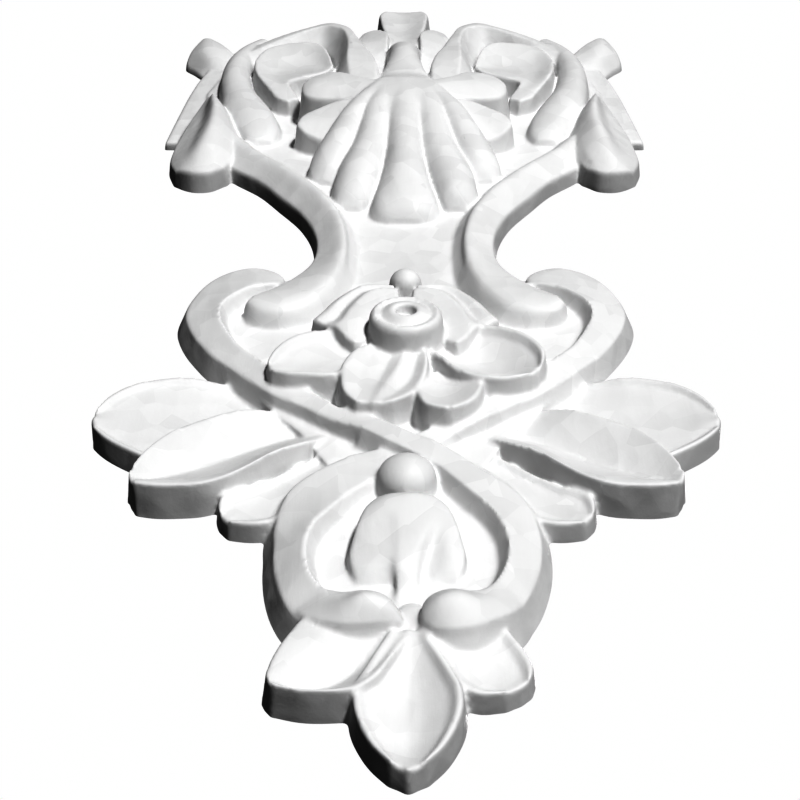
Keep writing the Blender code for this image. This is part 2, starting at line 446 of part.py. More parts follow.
def crown_leaves(bm):
    """The thin blade, the upper petal and the hanging leaf at each side of the crown."""
    outer = [(-50, 118, 2.2), (-52.8, 111.6, 2.2), (-56, 103.8, 2.2), (-57.4, 85.5, 2.2), (-58.6, 70, 2.2),
             (-59.2, 63.4, 2.2)]
    inner = [(-42, 112, 2.2), (-46, 104, 2.2), (-49, 88, 2.2), (-51, 72, 2.2), (-52, 63.4, 2.2)]
    pair(bm, [outer, inner], along=12, across=3)
    rim = [(-55, 108, 1), (-58, 112.6, 1.2), (-60.8, 116.6, 1.5), (-60.3, 120.5, 3.4), (-58.5, 125, 4.8),
           (-56.9, 128.4, 5.5)]
    crest = [(-52, 108, 4.6), (-54.6, 114, 5.8), (-56, 121, 6.2), (-56.2, 128, 5.7)]
    edge = [(-44, 110, 4.4), (-46.4, 116.5, 5.2), (-50.4, 122.6, 5.5), (-54.6, 127.8, 5.6)]
    pair(bm, [rim, crest, edge], along=12, across=6)
    rim = [(-51, 84, 4.8), (-52.6, 77.8, 4.4), (-54.2, 69.6, 4), (-55.5, 60.6, 3.8), (-56.2, 52, 3.8),
           (-55.9, 44.6, 4), (-54, 39.4, 4.4)]
    gully = [(-50.6, 82, 5), (-51, 75, 4.2), (-51.1, 66, 4), (-51.3, 57, 4.3), (-51.8, 49, 4.7),
             (-52.2, 43, 4.8), (-51.8, 38, 4.6)]
    crest = [(-49.8, 80.6, 7), (-47.6, 73, 8.8), (-46, 65, 9.5), (-46, 58, 9.5), (-46.8, 50, 9.2),
             (-48, 44, 8.1), (-49.4, 36.8, 4.9)]
    back = [(-48.8, 80, 6.2), (-45.4, 71, 7.4), (-43.6, 63, 7.7), (-43, 56, 7.7), (-43, 49, 7.5),
            (-43.8, 43, 6.9), (-45.6, 37, 4.8)]
    edge = [(-48.2, 79, 4.8), (-44.6, 71.8, 4.8), (-41.8, 63, 4.6), (-40, 56, 4.4), (-39.6, 51, 4.4),
            (-40.2, 46.2, 4.6), (-42.2, 40.4, 4.7)]
    pair(bm, [rim, gully, crest, back, edge], along=22, across=16)


def crown_scrolls(bm):
    """The tube-like band, the eye inside it and the arch over them, at each side of the crown."""
    path = [(-38.6, 120, 2.6, 8.2, 5.4), (-42.2, 114, 2.9, 8.4, 5), (-44.4, 106, 3.5, 8.6, 4.8),
            (-44.8, 98, 4, 8.7, 4.5), (-44.2, 90, 4.4, 8.7, 4.2), (-42.6, 82, 5, 8.7, 4),
            (-40.4, 75, 5.7, 8.6, 3.8), (-38.2, 69, 6, 8.2, 3.6), (-36.6, 64, 5.6, 7.4, 3.4),
            (-35.8, 60.4, 4.4, 6, 3.3), (-35.4, 57.6, 2.4, 4.2, 3.2)]
    pair(bm, tube(path), along=28, across=12)
    outer = [(-18.7, 96.6, 8.8), (-19.9, 102.5, 9.7), (-21.7, 108.2, 10.2), (-24.3, 111.6, 10.2),
             (-28.5, 112.5, 10), (-33, 112.2, 9.6), (-36.6, 110.2, 9.3), (-39, 105.2, 9.2),
             (-39.8, 99, 9.2), (-39.5, 94, 9.1), (-38.2, 89, 8.9), (-36.4, 84.6, 8.7), (-34.2, 79, 8.4),
             (-31.8, 74.2, 8.1), (-29, 72.6, 8)]
    middle = [(-19, 96, 8.6), (-21.5, 98.5, 7.9), (-24.5, 100.5, 7.4), (-28, 100.6, 7.1),
              (-31.5, 98.6, 7.1), (-33.4, 95, 7.3), (-33.8, 91, 7.6), (-33.2, 87, 8), (-32, 82.6, 8.4),
              (-30.6, 78.6, 8.5), (-28.4, 73.4, 8.1)]
    inner = [(-19.2, 95.2, 8.7), (-20.8, 92.4, 8.7), (-23, 90.8, 8.6), (-25.5, 89.4, 8.5), (-28, 88.2, 8.4),
             (-29.3, 87.2, 8.3), (-29.8, 86, 8.3), (-29.5, 84, 8.3), (-28.9, 82, 8.3), (-28.2, 80, 8.2),
             (-27.4, 78, 8.1), (-26.7, 76, 8), (-26.3, 74.6, 8)]
    pair(bm, [outer, middle, inner], along=28, across=10)
    outer = [(-44, 112, 7), (-39, 115.2, 8.6), (-33, 119.4, 9.6), (-26.4, 122.4, 10.6),
             (-20.7, 124.2, 11.3), (-16.2, 121, 11.6), (-12.9, 112, 11.8), (-10.4, 103, 12), (-8, 95, 12.3),
             (-6.6, 88, 12.6), (-6.8, 78, 13.2)]
    ridge = [(-43, 108, 8), (-38, 111.6, 9), (-32.5, 115.8, 10), (-26.5, 119.2, 11), (-21, 120.4, 11.8),
             (-17.6, 117.6, 12.2), (-15.4, 110, 12.4), (-15, 102, 12.6), (-15, 94, 12.9), (-13, 80, 13.2)]
    floor = [(-42, 104, 6), (-37, 107, 6), (-31.5, 112, 5.8), (-27, 115.4, 5.6), (-22.8, 115.8, 5.4),
             (-20, 111.6, 5.4), (-18.8, 104, 5.6), (-18.4, 97, 7), (-17.8, 90, 9.4), (-17.5, 82, 11.6)]
    pair(bm, [outer, ridge, floor], along=28, across=10, crisp=True)
    dome(bm, (-30, 100), (10, 10), 4.4, 5.2)
    dome(bm, (30, 100), (10, 10), 4.4, 5.2)


def crown_lobes(bm):
    """The two side lobes, the small lobes, the knob and the plume around the shell."""
    far = [(-25.5, 74.4, 12.2), (-23.6, 77, 12.8), (-20.1, 79.1, 13.3), (-16.3, 79.6, 13.5),
           (-12.4, 75.6, 14), (-6, 72, 14)]
    middle = [(-25.7, 72.8, 12.1), (-23, 71.4, 13), (-19.5, 71.6, 13.4), (-15, 72, 13.6), (-6, 69, 14)]
    near = [(-25.7, 71.4, 11.6), (-25.2, 69, 11.4), (-23.6, 67.2, 11.2), (-20.8, 66.2, 11.2),
            (-17, 65.8, 11.4), (-12, 65.4, 12.2), (-6, 64, 13)]
    pair(bm, [far, middle, near], along=14, across=8)
    far = [(-26, 56, 9.4), (-24.6, 60, 9.8), (-21.2, 62.4, 10.6), (-17.1, 64.4, 11.6), (-12, 65, 12.4),
           (-6, 66, 12.4)]
    middle = [(-26.1, 55.2, 9.3), (-24, 55.8, 9.6), (-21, 56.6, 9.8), (-16, 57.6, 10.4), (-8, 58, 11)]
    near = [(-26, 54.4, 9), (-24.4, 52.2, 8.4), (-22, 50.6, 7.6), (-18, 49, 7.2), (-8, 50, 8)]
    pair(bm, [far, middle, near], along=12, across=6)
    left = [(-14, 98, 7.6), (-14.6, 112, 7.6), (-13.9, 125, 7.3), (-11.2, 130.6, 7.1)]
    right = [(-4, 96, 4.8), (-4.4, 108, 5), (-4.4, 120, 5.4), (-4.8, 128.4, 6.2), (-8, 130.4, 7)]
    pair(bm, [left, right], along=12, across=6)
    path = [(0, 107.4, 1.2, 10.6, 8.8), (0, 102, 2.4, 12.3, 9), (0, 96.5, 3.2, 13.1, 9.2),
            (0, 90, 4.5, 13.4, 9.4), (0, 84, 5.8, 13.3, 9.8), (0, 78, 7.4, 13, 10.4),
            (0, 72, 9.2, 13.4, 11)]
    loft(bm, tube(path), along=16, across=12)
    left = [(-2, 110, 7), (-4.2, 122, 6.5), (-5.8, 132.5, 6.5), (-6.8, 141, 6.6), (-6.9, 146.6, 6.7),
            (-5.6, 149, 6.7)]
    valley = [(0, 110, 7), (0, 122, 6), (0, 130, 5.3), (0, 140, 5.2), (0, HEIGHT / 2 + 0.2, 6)]
    loft(bm, [left, valley] + mirrored([left]), along=18, across=8)


def shell(bm):
    """Five lobes that run down from the summit and swell to rounded feet."""
    cap = [(0, 73, 8.6, 14.8, 13), (0, 66, 9.4, 14.6, 12.8), (0, 58, 10, 13.4, 11.2),
           (0, 50, 10.2, 11.8, 9), (0, 43, 9.6, 9.8, 6.6), (0, 38, 8, 7, 4.6)]
    loft(bm, tube(cap), along=20, across=24)
    centre = [(0, 72, 4.6, 15, 13.6), (0, 60, 4, 14.2, 12), (0, 50, 4, 13.1, 10.4), (0, 42, 4.4, 12.1, 8),
              (0, 36, 5, 11.2, 5.6), (0, 30, 5.8, 10.4, 4.4), (0, 24.6, 6.8, 9.5, 3.8),
              (0, 20, 7.7, 8.7, 3.5), (0, 16.6, 7.9, 7.8, 3.3), (0, 14, 6.9, 6.2, 3.1), (0, 12.3, 4, 4, 3)]
    loft(bm, tube(centre), along=34, across=16)
    middle = [(-3, 71, 2.6, 14.8, 13.4), (-6, 60, 3.2, 13.9, 12), (-7.1, 50, 3.8, 12.6, 9.8),
              (-8.1, 42, 4.6, 11.3, 7.2), (-9.6, 36, 5.3, 10.4, 4.8), (-10.7, 30.6, 5.6, 9.7, 4),
              (-11.4, 26, 5.3, 9, 3.6), (-11.8, 22.4, 4.9, 8.2, 3.4), (-11.9, 19.8, 3.8, 6.4, 3.2),
              (-11.9, 18.2, 2.2, 4, 3.1)]
    pair(bm, tube(middle), along=34, across=14)
    side = [(-5.6, 70, 2.6, 14.6, 12.8), (-11, 60, 3.1, 13.5, 11), (-13.6, 52, 3.9, 12.3, 8.8),
            (-15, 47, 4.6, 11.3, 6.8), (-16.4, 42.4, 5, 10.3, 5), (-17.6, 38.4, 5, 9, 3.9),
            (-18.5, 35, 4.2, 7, 3.4), (-18.9, 32.6, 2.4, 4.2, 3.1)]
    pair(bm, tube(side), along=28, across=14)


def wood(name, colour, roughness):
    """A painted wood material."""
    material = bpy.data.materials.new(name)
    material.use_nodes = True
    shader = material.node_tree.nodes["Principled BSDF"]
    shader.inputs["Base Color"].default_value = colour
    shader.inputs["Roughness"].default_value = roughness
    shader.inputs["Metallic"].default_value = 0.0
    material.diffuse_color = colour
    return material


def fuse(bm, name):
    """Join all forms into one solid of the wanted fineness, with the relief facing -Y."""
    for vert in bm.verts:
        vert.co = (vert.co.x * MM, -vert.co.z * MM, vert.co.y * MM)
    bmesh.ops.recalc_face_normals(bm, faces=bm.faces)
    mesh = bpy.data.meshes.new(name + "_forms")
    bm.to_mesh(mesh)
    bm.free()
    rough = bpy.data.objects.new(name + "_forms", mesh)
    bpy.context.scene.collection.objects.link(rough)
    remesh = rough.modifiers.new("Fuse", "REMESH")
    remesh.mode = "VOXEL"
    remesh.voxel_size = VOXEL * MM
    soften = rough.modifiers.new("Soften", "SMOOTH")
    soften.factor = 0.5
    soften.iterations = SMOOTH_PASSES
    graph = bpy.context.evaluated_depsgraph_get()
    count = len(rough.evaluated_get(graph).data.polygons) * 2
    thin = rough.modifiers.new("Thin out", "DECIMATE")
    thin.ratio = TRIANGLES / count
    graph = bpy.context.evaluated_depsgraph_get()
    solid = bpy.data.meshes.new_from_object(rough.evaluated_get(graph))
    bpy.data.objects.remove(rough)
    return solid


def flat_back(solid):
    """Cut the solid off at the plane of its back and close it with a flat face."""
    bm = bmesh.new()
    bm.from_mesh(solid)
    geometry = bm.verts[:] + bm.edges[:] + bm.faces[:]
    bmesh.ops.bisect_plane(bm, geom=geometry, plane_co=(0, 0, 0), plane_no=(0, 1, 0), clear_outer=True)
    rim = [edge for edge in bm.edges if edge.is_boundary]
    bmesh.ops.edgenet_fill(bm, edges=rim)
    bmesh.ops.dissolve_degenerate(bm, dist=0.00002, edges=bm.edges)
    bmesh.ops.triangulate(bm, faces=bm.faces)
    bmesh.ops.recalc_face_normals(bm, faces=bm.faces)
    bm.to_mesh(solid)
    bm.free()


def carved_onlay():
    """The whole onlay, one carved piece."""
    bm = bmesh.new()
    bm.verts.layers.int.new("place")
    for form in (field, upper_bands, lower_scrolls, curled_ends, side_leaves, flower, bud, foot_leaves,
                 crown_leaves, crown_scrolls, crown_lobes, shell):
        form(bm)
    solid = fuse(bm, "carved_onlay")
    flat_back(solid)
    solid.name = "carved_onlay"
    onlay = bpy.data.objects.new("carved_onlay", solid)
    bpy.context.scene.collection.objects.link(onlay)
    solid.materials.clear()
    solid.materials.append(wood("primed_wood", (0.85, 0.84, 0.82, 1.0), 0.6))
    solid.shade_smooth()
    solid.set_sharp_from_angle(angle=math.radians(40))
    return onlay


def main():
    """Empty the scene and build the onlay."""
    for item in list(bpy.data.objects):
        bpy.data.objects.remove(item)
    carved_onlay()


main()
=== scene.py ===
"""Carved onlay for a wall or a door: the finely carved, primed surface and the stage it is seen on.

The relief is drawn in millimetres: across the onlay, up the onlay, and height above its flat back.
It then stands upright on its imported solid's place, with its back on Y = 0 and its face towards -Y.
"""

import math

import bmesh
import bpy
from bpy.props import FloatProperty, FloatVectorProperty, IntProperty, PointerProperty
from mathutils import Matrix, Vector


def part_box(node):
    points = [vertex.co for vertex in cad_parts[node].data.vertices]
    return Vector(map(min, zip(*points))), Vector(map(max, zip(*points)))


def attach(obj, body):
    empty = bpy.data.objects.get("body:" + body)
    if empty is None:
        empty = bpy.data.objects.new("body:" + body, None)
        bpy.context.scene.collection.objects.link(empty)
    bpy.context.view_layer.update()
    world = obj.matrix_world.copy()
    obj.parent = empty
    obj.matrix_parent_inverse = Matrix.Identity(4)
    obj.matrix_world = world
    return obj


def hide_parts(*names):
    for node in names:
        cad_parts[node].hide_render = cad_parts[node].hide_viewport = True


bl_info = {
    "name": "Carved Onlay",
    "version": (1, 0, 0),
    "blender": (4, 5, 0),
    "location": "3D View > Sidebar > Onlay",
    "description": "Carves a primed wood onlay with a shell crown, scrolls, leaves and a flower",
    "category": "Object",
}

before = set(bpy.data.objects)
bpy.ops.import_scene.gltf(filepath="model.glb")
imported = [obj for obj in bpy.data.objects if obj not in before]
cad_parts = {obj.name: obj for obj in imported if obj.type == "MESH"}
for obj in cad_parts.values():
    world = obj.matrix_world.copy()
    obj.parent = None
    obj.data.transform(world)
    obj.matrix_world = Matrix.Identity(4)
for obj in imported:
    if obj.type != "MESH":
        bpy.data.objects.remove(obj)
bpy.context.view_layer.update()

NODE = "carved_onlay"
LOW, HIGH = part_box(NODE)

MM = 0.001
TINY = 1e-6
BELOW_BACK = -2.0
UPRIGHT = 0.04
MOST_INSET = 0.45
SHARP = math.radians(80)

SCROLL_EDGE = 4.2
SCROLL_RIDGE = 6.2
NECK_RIDGE = 6.8

GRAIN_RUN = (1.0, 1.0, 0.06)
GRAIN_SCALE = 1400.0
TOOTH_SCALE = 2600.0
CLOUD_SCALE = 45.0
FACET_SOFTNESS = 0.35
# Share of painted facet shade in the colour: each knife facet is painted its own lighter or darker patch,
# standing in for how it catches the light.
FACET_SHADE_SHARE = 0.6
CLOUD_SHARE = 0.25
GRAIN_SHARE = 0.15
SHEEN_CHANGE = 0.12
PRIMER_SPECULAR = 0.35
FLOOR_ROUGHNESS = 0.9

FLOOR_HALF = 6.0
KEY_DIRECTION = (0.32, -0.92, -0.21)
KEY_SPREAD = math.radians(100)
OVERHEAD_DIRECTION = (0.15, 0.6, 0.8)
OVERHEAD_ANGLE = math.radians(20)
# Below 1, the picture's middle greys come out darker, as in a hard print.
PRINT_GAMMA = 0.5
VIEW_PLACE = (-0.00108, -0.147, -0.2855)
VIEW_TILT = math.radians(147.5)
VIEW_SENSOR = 36.0
VIEW_LENS = 67.185


def curve_through(points, count):
    """Give count + 1 places, evenly spaced, on a smooth curve through the points."""
    spans = [math.dist(a, b) + TINY for a, b in zip(points, points[1:])]
    total = sum(spans)
    places = []
    for step in range(count + 1):
        reach = total * step / count
        index = 0
        while index < len(spans) - 1 and reach > spans[index]:
            reach -= spans[index]
            index += 1
        t = min(reach / spans[index], 1.0)
        leave = slopes_at(points, spans, index)
        arrive = slopes_at(points, spans, index + 1)
        places.append(tuple(bent(a, b, spans[index] * c, spans[index] * d, t)
                            for a, b, c, d in zip(points[index], points[index + 1], leave, arrive)))
    return places


def slopes_at(points, spans, index):
    """Give how fast the curve moves at a point, from the spans on both sides of it."""
    if index in (0, len(spans)):
        near = min(index, len(spans) - 1)
        return [(b - a) / spans[near] for a, b in zip(points[near], points[near + 1])]
    before, after = spans[index - 1], spans[index]
    return [((b - a) / before * after + (c - b) / after * before) / (before + after)
            for a, b, c in zip(points[index - 1], points[index], points[index + 1])]


def bent(start, end, leave, arrive, t):
    """Blend two values so that the curve leaves and arrives at the given speeds."""
    left = 1.0 - t
    return (start * left * left * (1.0 + 2.0 * t) + end * t * t * (3.0 - 2.0 * t)
            + leave * t * left * left - arrive * t * t * left)


def line_through(points, count):
    """Give count + 1 places on the straight runs between the points."""
    places = []
    for step in range(count + 1):
        reach = (len(points) - 1) * step / count
        index = min(int(reach), len(points) - 2)
        t = reach - index
        places.append(tuple(a + (b - a) * t for a, b in zip(points[index], points[index + 1])))
    return places


def unit(u, v):
    """Scale a plan direction to length one."""
    length = math.hypot(u, v)
    if length < TINY:
        return 0.0, 0.0
    return u / length, v / length


def outward(rail, other):
    """Give the plan direction that leaves the shape, at each place of a side rail."""
    ways = []
    lean = 0.0
    for index, place in enumerate(rail):
        before = rail[max(index - 1, 0)]
        after = rail[min(index + 1, len(rail) - 1)]
        u, v = unit(after[0] - before[0], after[1] - before[1])
        ways.append((-v, u))
        lean += -v * (place[0] - other[index][0]) + u * (place[1] - other[index][1])
    side = 1.0 if lean >= 0 else -1.0
    return [(side * u, side * v) for u, v in ways]


def between(a, b, t):
    """Give the place at the share t of the way from a to b."""
    return tuple(p + (q - p) * t for p, q in zip(a, b))


TUBE_PROFILE = ((-1.0, 0.0), (-0.8, 0.62), (-0.4, 0.93), (0.0, 1.0), (0.4, 0.93), (0.8, 0.62), (1.0, 0.0))


def tube(path):
    """Give the rails of a round-topped band along a path of (u, v, half width, crest, edge height)."""
    rails = []
    for offset, share in TUBE_PROFILE:
        rail = []
        for index, (u, v, half, crest, edge) in enumerate(path):
            before = path[max(index - 1, 0)]
            after = path[min(index + 1, len(path) - 1)]
            du, dv = unit(after[0] - before[0], after[1] - before[1])
            rail.append((u + dv * half * offset, v - du * half * offset, edge + (crest - edge) * share))
        rails.append(rail)
    return rails


def dished(far, middle, near, rim=0.9, depth=0.7):
    """Give the rails of a leaf whose inside lies below a narrow rim."""
    shelf_reach = 2.1 * rim
    full_depth_reach = 4.0 * rim
    rows = []
    for left, inside, right in zip(*[curve_through(rail, 18) for rail in (far, middle, near)]):
        crests = []
        shelves = []
        for edge in (left, right):
            reach = max(math.dist(edge[:2], inside[:2]), 0.1)
            u, v, z = between(edge, inside, min(rim / reach, 0.25))
            crests.append((u, v, edge[2]))
            u, v, z = between(edge, inside, min(shelf_reach / reach, 0.5))
            shelves.append((u, v, z - depth * min(reach / full_depth_reach, 1.0)))
        bowl = curve_through([shelves[0], inside, shelves[1]], 6)
        rows.append([left, crests[0], *bowl, crests[1], right])
    return [list(rail) for rail in zip(*rows)]


def mirrored(rails):
    """Reflect rails from the left half to the right half."""
    return [[(-u, v, z) for u, v, z in rail] for rail in rails]


class Carver:
    """Carves forms into one bmesh, in millimetres, with the rims and walls that the sizes ask for."""

    def __init__(self, sizes):
        self.bm = bmesh.new()
        self.place = self.bm.verts.layers.int.new("place")
        self.steps = sizes.curve_steps
        self.field = sizes.field / MM
        self.ease = sizes.rim_width / MM
        self.ease_depth = sizes.rim_depth / MM
        self.draft = math.tan(sizes.wall_slope)
        self.soft_draft = math.tan(sizes.inner_slope)
        self.wide_draft = math.tan(sizes.outer_slope)

    def inset(self, a, b):
        """Give the place just inside the rim place a, towards its neighbour b."""
        return between(a, b, min(self.ease / max(math.dist(a[:2], b[:2]), self.ease), MOST_INSET))

    def lowered(self, place):
        """Give a rim place lowered by the rounding."""
        return place[0], place[1], place[2] - self.ease_depth

    def eased(self, row):
        """Round off both ends of a row of places."""
        head = [self.lowered(row[0]), self.inset(row[0], row[1])]
        tail = [self.inset(row[-1], row[-2]), self.lowered(row[-1])]
        return head + row[1:-1] + tail

    def eased_rows(self, rows):
        """Round off the first and the last row of places."""
        head = [[self.lowered(a) for a in rows[0]], [self.inset(a, b) for a, b in zip(rows[0], rows[1])]]
        tail = [[self.inset(a, b) for a, b in zip(rows[-1], rows[-2])], [self.lowered(a) for a in rows[-1]]]
        return head + rows[1:-1] + tail

    def lean_at(self, slope, share):
        """Give the lean of a wall at the share of the way along its form."""
        if slope is None:
            return self.draft
        if isinstance(slope, tuple):
            return slope[0] + (slope[1] - slope[0]) * share ** 2
        return slope

    def loft(self, rails, along=24, across=8, crisp=False, slopes=(None, None), end=None):
        """Carve one form: a skin over the rails, with sloping walls down past the back."""
        along *= self.steps
        across *= self.steps
        runs = [curve_through(rail, along) for rail in rails]
        spread = line_through if crisp else curve_through
        rows = [spread([run[index] for run in runs], across) for index in range(along + 1)]
        rows = self.eased_rows([self.eased(row) for row in rows])
        along += 2
        across += 2
        first_side = [row[0] for row in rows]
        last_side = [row[-1] for row in rows]
        ways = outward(first_side, last_side), outward(last_side, first_side)
        middle = across // 2
        head = unit(rows[0][middle][0] - rows[1][middle][0], rows[0][middle][1] - rows[1][middle][1])
        tail = unit(rows[-1][middle][0] - rows[-2][middle][0], rows[-1][middle][1] - rows[-2][middle][1])
        end_lean = self.lean_at(end, 0.0)

        made = bmesh.ops.create_grid(self.bm, x_segments=across, y_segments=along, size=1.0)
        for vert in made["verts"]:
            row = round((vert.co.y + 1.0) / 2.0 * along)
            column = round((vert.co.x + 1.0) / 2.0 * across)
            vert.co = rows[row][column]
            vert[self.place] = row * (across + 1) + column
        faces = list({face for vert in made["verts"] for face in vert.link_faces})
        walls = bmesh.ops.extrude_face_region(self.bm, geom=faces)
        for vert in [item for item in walls["geom"] if isinstance(item, bmesh.types.BMVert)]:
            row, column = divmod(vert[self.place], across + 1)
            leans = [Vector(way[row]) * self.lean_at(slope, row / along) for edge, way, slope
                     in ((0, ways[0], slopes[0]), (across, ways[1], slopes[1])) if column == edge]
            leans += [Vector(way) * end_lean for last, way in ((0, head), (along, tail)) if row == last]
            push = sum(leans, Vector((0.0, 0.0))) * (vert.co.z - BELOW_BACK) / math.sqrt(max(len(leans), 1))
            vert.co = (vert.co.x + push.x, vert.co.y + push.y, BELOW_BACK)

    def pair(self, rails, **how):
        """Carve a form and its reflection."""
        self.loft(rails, **how)
        self.loft(mirrored(rails), **how)

    def dome(self, centre, radii, shoulder, top, slope=None):
        """Carve a bead: a rounded cap on a steep wall."""
        made = bmesh.ops.create_uvsphere(self.bm, u_segments=48, v_segments=32, radius=1.0)
        flare = (self.draft if slope is None else slope) * (shoulder - BELOW_BACK)
        for vert in made["verts"]:
            u, v, z = vert.co
            if z >= -1e-4:
                cap = shoulder + z * (top - shoulder)
                vert.co = (centre[0] + u * radii[0], centre[1] + v * radii[1], cap)
            else:
                reach = max(math.hypot(u, v), TINY)
                wide = (radii[0] + flare) * min(reach * 1.6, 1.0) / reach
                deep = (radii[1] + flare) * min(reach * 1.6, 1.0) / reach
                vert.co = (centre[0] + u * wide, centre[1] + v * deep, BELOW_BACK)

    def ring(self, centre, profile):
        """Carve a turned boss from its profile of (radius, height) points."""
        start = [self.bm.verts.new((centre[0] + radius, centre[1], z)) for radius, z in profile]
        edges = [self.bm.edges.new(ends) for ends in zip(start, start[1:])]
        bmesh.ops.spin(self.bm, geom=start + edges, cent=(centre[0], centre[1], 0.0), axis=(0.0, 0.0, 1.0),
                       angle=2 * math.pi, steps=64, use_merge=True)

    def plate(self, half_outline, top):
        """Carve the flat ground between the forms, from the left half of its outline."""
        outline = half_outline + [(-u, v) for u, v in reversed(half_outline) if u]
        face = self.bm.faces.new([self.bm.verts.new((u, v, top)) for u, v in outline])
        walls = bmesh.ops.extrude_face_region(self.bm, geom=[face])
        for vert in [item for item in walls["geom"] if isinstance(item, bmesh.types.BMVert)]:
            vert.co.z = BELOW_BACK


def field(carver):
    """The low ground inside the bands and under the crown."""
    carver.plate([(0, -124), (-10, -122), (-17, -113), (-18.5, -100), (-11, -84), (-18, -70), (-35, -48),
               (-40.5, -30), (-35, -15), (-25, -14), (-16, -6), (-16, 6), (-22, 18), (-34, 34), (-44, 48),
               (-50, 66), (-52, 92), (-48, 110), (-34, 115), (-20, 118), (-12, 124), (0, 126)], carver.field)


def upper_bands(carver):
    """The pair of bands that run in from the crown to the neck and out to blunt ends."""
    outer = [(-46, 49, 3.5), (-39.9, 40.5, 3.6), (-33.3, 33.1, 3.6), (-28.3, 25, 3.6), (-22.4, 14.5, 3.8),
             (-19.5, 5, 4), (-18.9, -3, 4.2), (-19.8, -9.5, 4.5), (-22, -14.5, 4.8), (-25.5, -20.5, 5.5),
             (-30.3, -26.6, 6.4)]
    ridge = [(-41, 56, 6), (-36, 47, 6.3), (-29.7, 38.5, 6.5), (-24.7, 31.4, 6.6), (-19.8, 23, 6.8),
             (-14.8, 9.8, NECK_RIDGE), (-13.3, 0.9, NECK_RIDGE), (-13.4, -7.6, NECK_RIDGE),
             (-14.7, -14.3, NECK_RIDGE), (-17.1, -19.5, NECK_RIDGE), (-20.9, -23.7, NECK_RIDGE),
             (-24.7, -25.8, NECK_RIDGE), (-30.5, -27.5, 6.7)]
    slope = [(-39.5, 57, 4.5), (-34.5, 48, 4.5), (-28, 40, 4.6), (-23, 33, 4.7), (-18, 24.2, 4.6),
             (-13, 10.8, 4.6), (-11.8, 2, 4.6), (-11.5, -8, 4.6), (-12.2, -16, 5.2), (-15.4, -24.6, 5.9),
             (-19.6, -30.4, 6.2), (-25, -32.4, 6.2), (-29.4, -31.2, 6.3), (-31.2, -28.4, 6.4)]
    foot = [(-38, 58, 2.6), (-33, 49.5, 2.6), (-26.2, 41.5, 2.6), (-21, 34.5, 2.6), (-16, 25.2, 2.6),
            (-11.3, 11.5, 2.6), (-10, 3, 2.6), (-9.6, -7, 2.6), (-10.2, -16, 2.6), (-13.6, -25.8, 2.6),
            (-18.8, -32.4, 3), (-25.2, -34.2, 3), (-30.6, -32.4, 3), (-31.9, -28.5, 4.5)]
    carver.pair([outer, ridge, slope, foot], along=44, across=12)


ARC_OUTER = [(-24.5, -15.7, 4.6), (-26.3, -13, 4.5), (-29, -11, 4.4), (-32.2, -10.6, 4.4),
             (-35.4, -11.8, 4.3), (-38.3, -14.3, SCROLL_EDGE), (-40.7, -18.3, SCROLL_EDGE),
             (-42.2, -22.7, SCROLL_EDGE), (-43.1, -27, SCROLL_EDGE), (-43.1, -31, SCROLL_EDGE),
             (-42.4, -34, SCROLL_EDGE), (-40.7, -38.6, SCROLL_EDGE), (-38.2, -43.3, 4.3),
             (-35.6, -47.4, 4.4), (-32.8, -50.6, 4.5), (-28.7, -55.5, 4.8), (-23.2, -61.4, 5.1),
             (-19, -64.6, 5.4), (-11.9, -70.4, 5.7)]
ARC_RIDGE = [(-24.5, -19.5, 5.4), (-27.8, -20.8, 6), (-30.8, -22.4, SCROLL_RIDGE),
             (-33, -24.6, SCROLL_RIDGE), (-35, -27.4, SCROLL_RIDGE), (-35.9, -30.6, SCROLL_RIDGE),
             (-35.6, -34, SCROLL_RIDGE), (-34.2, -38, SCROLL_RIDGE), (-32.4, -42.2, SCROLL_RIDGE),
             (-30.2, -45.8, SCROLL_RIDGE), (-27.6, -48.8, SCROLL_RIDGE), (-25, -52, SCROLL_RIDGE),
             (-20.4, -57.2, 6.1), (-15, -62.6, 6), (-10.7, -66.7, 6)]
LEFT_LOOP_OUTER = [(-9.4, -79.8, 5.4), (-11.2, -80.9, 5.3), (-14.5, -83.3, 5), (-17.7, -86.5, 4.8),
                   (-19.3, -89, 4.6), (-20.2, -91.9, 4.4), (-20.9, -96.4, 4), (-21.1, -99, 3.8),
                   (-20.9, -102.1, 3.7), (-20.7, -106, 3.7), (-19.9, -111.2, 3.9), (-18.5, -116, 4.1),
                   (-16.2, -120.4, 4.2), (-11, -124.2, 4)]
LEFT_LOOP_RIDGE = [(-3.9, -85.2, 5.2), (-9, -91, 5.6), (-12.1, -95.7, 6), (-14.3, -99.3, SCROLL_RIDGE),
                   (-15.2, -103.1, SCROLL_RIDGE), (-15.1, -108, SCROLL_RIDGE),
                   (-14.2, -111.6, SCROLL_RIDGE), (-12.1, -115.1, SCROLL_RIDGE),
                   (-9.2, -117.2, SCROLL_RIDGE), (-6, -118.4, SCROLL_RIDGE)]
RIGHT_LOOP_OUTER = [(8.5, -80.4, 6.3), (12.2, -84.4, 6), (15.5, -87.2, 5.5), (17.9, -89.6, 5),
                    (19.5, -92, 4.5), (20.7, -96.4, 4), (21.1, -101, 3.7), (20.8, -105.9, 3.7),
                    (19.6, -111.1, 3.9), (17.8, -115.9, 4.1), (14.6, -120.8, 4.2), (10, -124.2, 3.8)]
RIGHT_LOOP_RIDGE = [(4.7, -83.6, SCROLL_RIDGE), (7.1, -86.8, SCROLL_RIDGE), (10.1, -91.2, SCROLL_RIDGE),
                    (13, -95.4, SCROLL_RIDGE), (14.5, -98.8, SCROLL_RIDGE), (15.3, -103.1, SCROLL_RIDGE),
                    (15.2, -106.8, SCROLL_RIDGE), (14.3, -110.4, SCROLL_RIDGE),
                    (12.9, -113.4, SCROLL_RIDGE), (10.4, -116.2, SCROLL_RIDGE), (7, -118, SCROLL_RIDGE)]


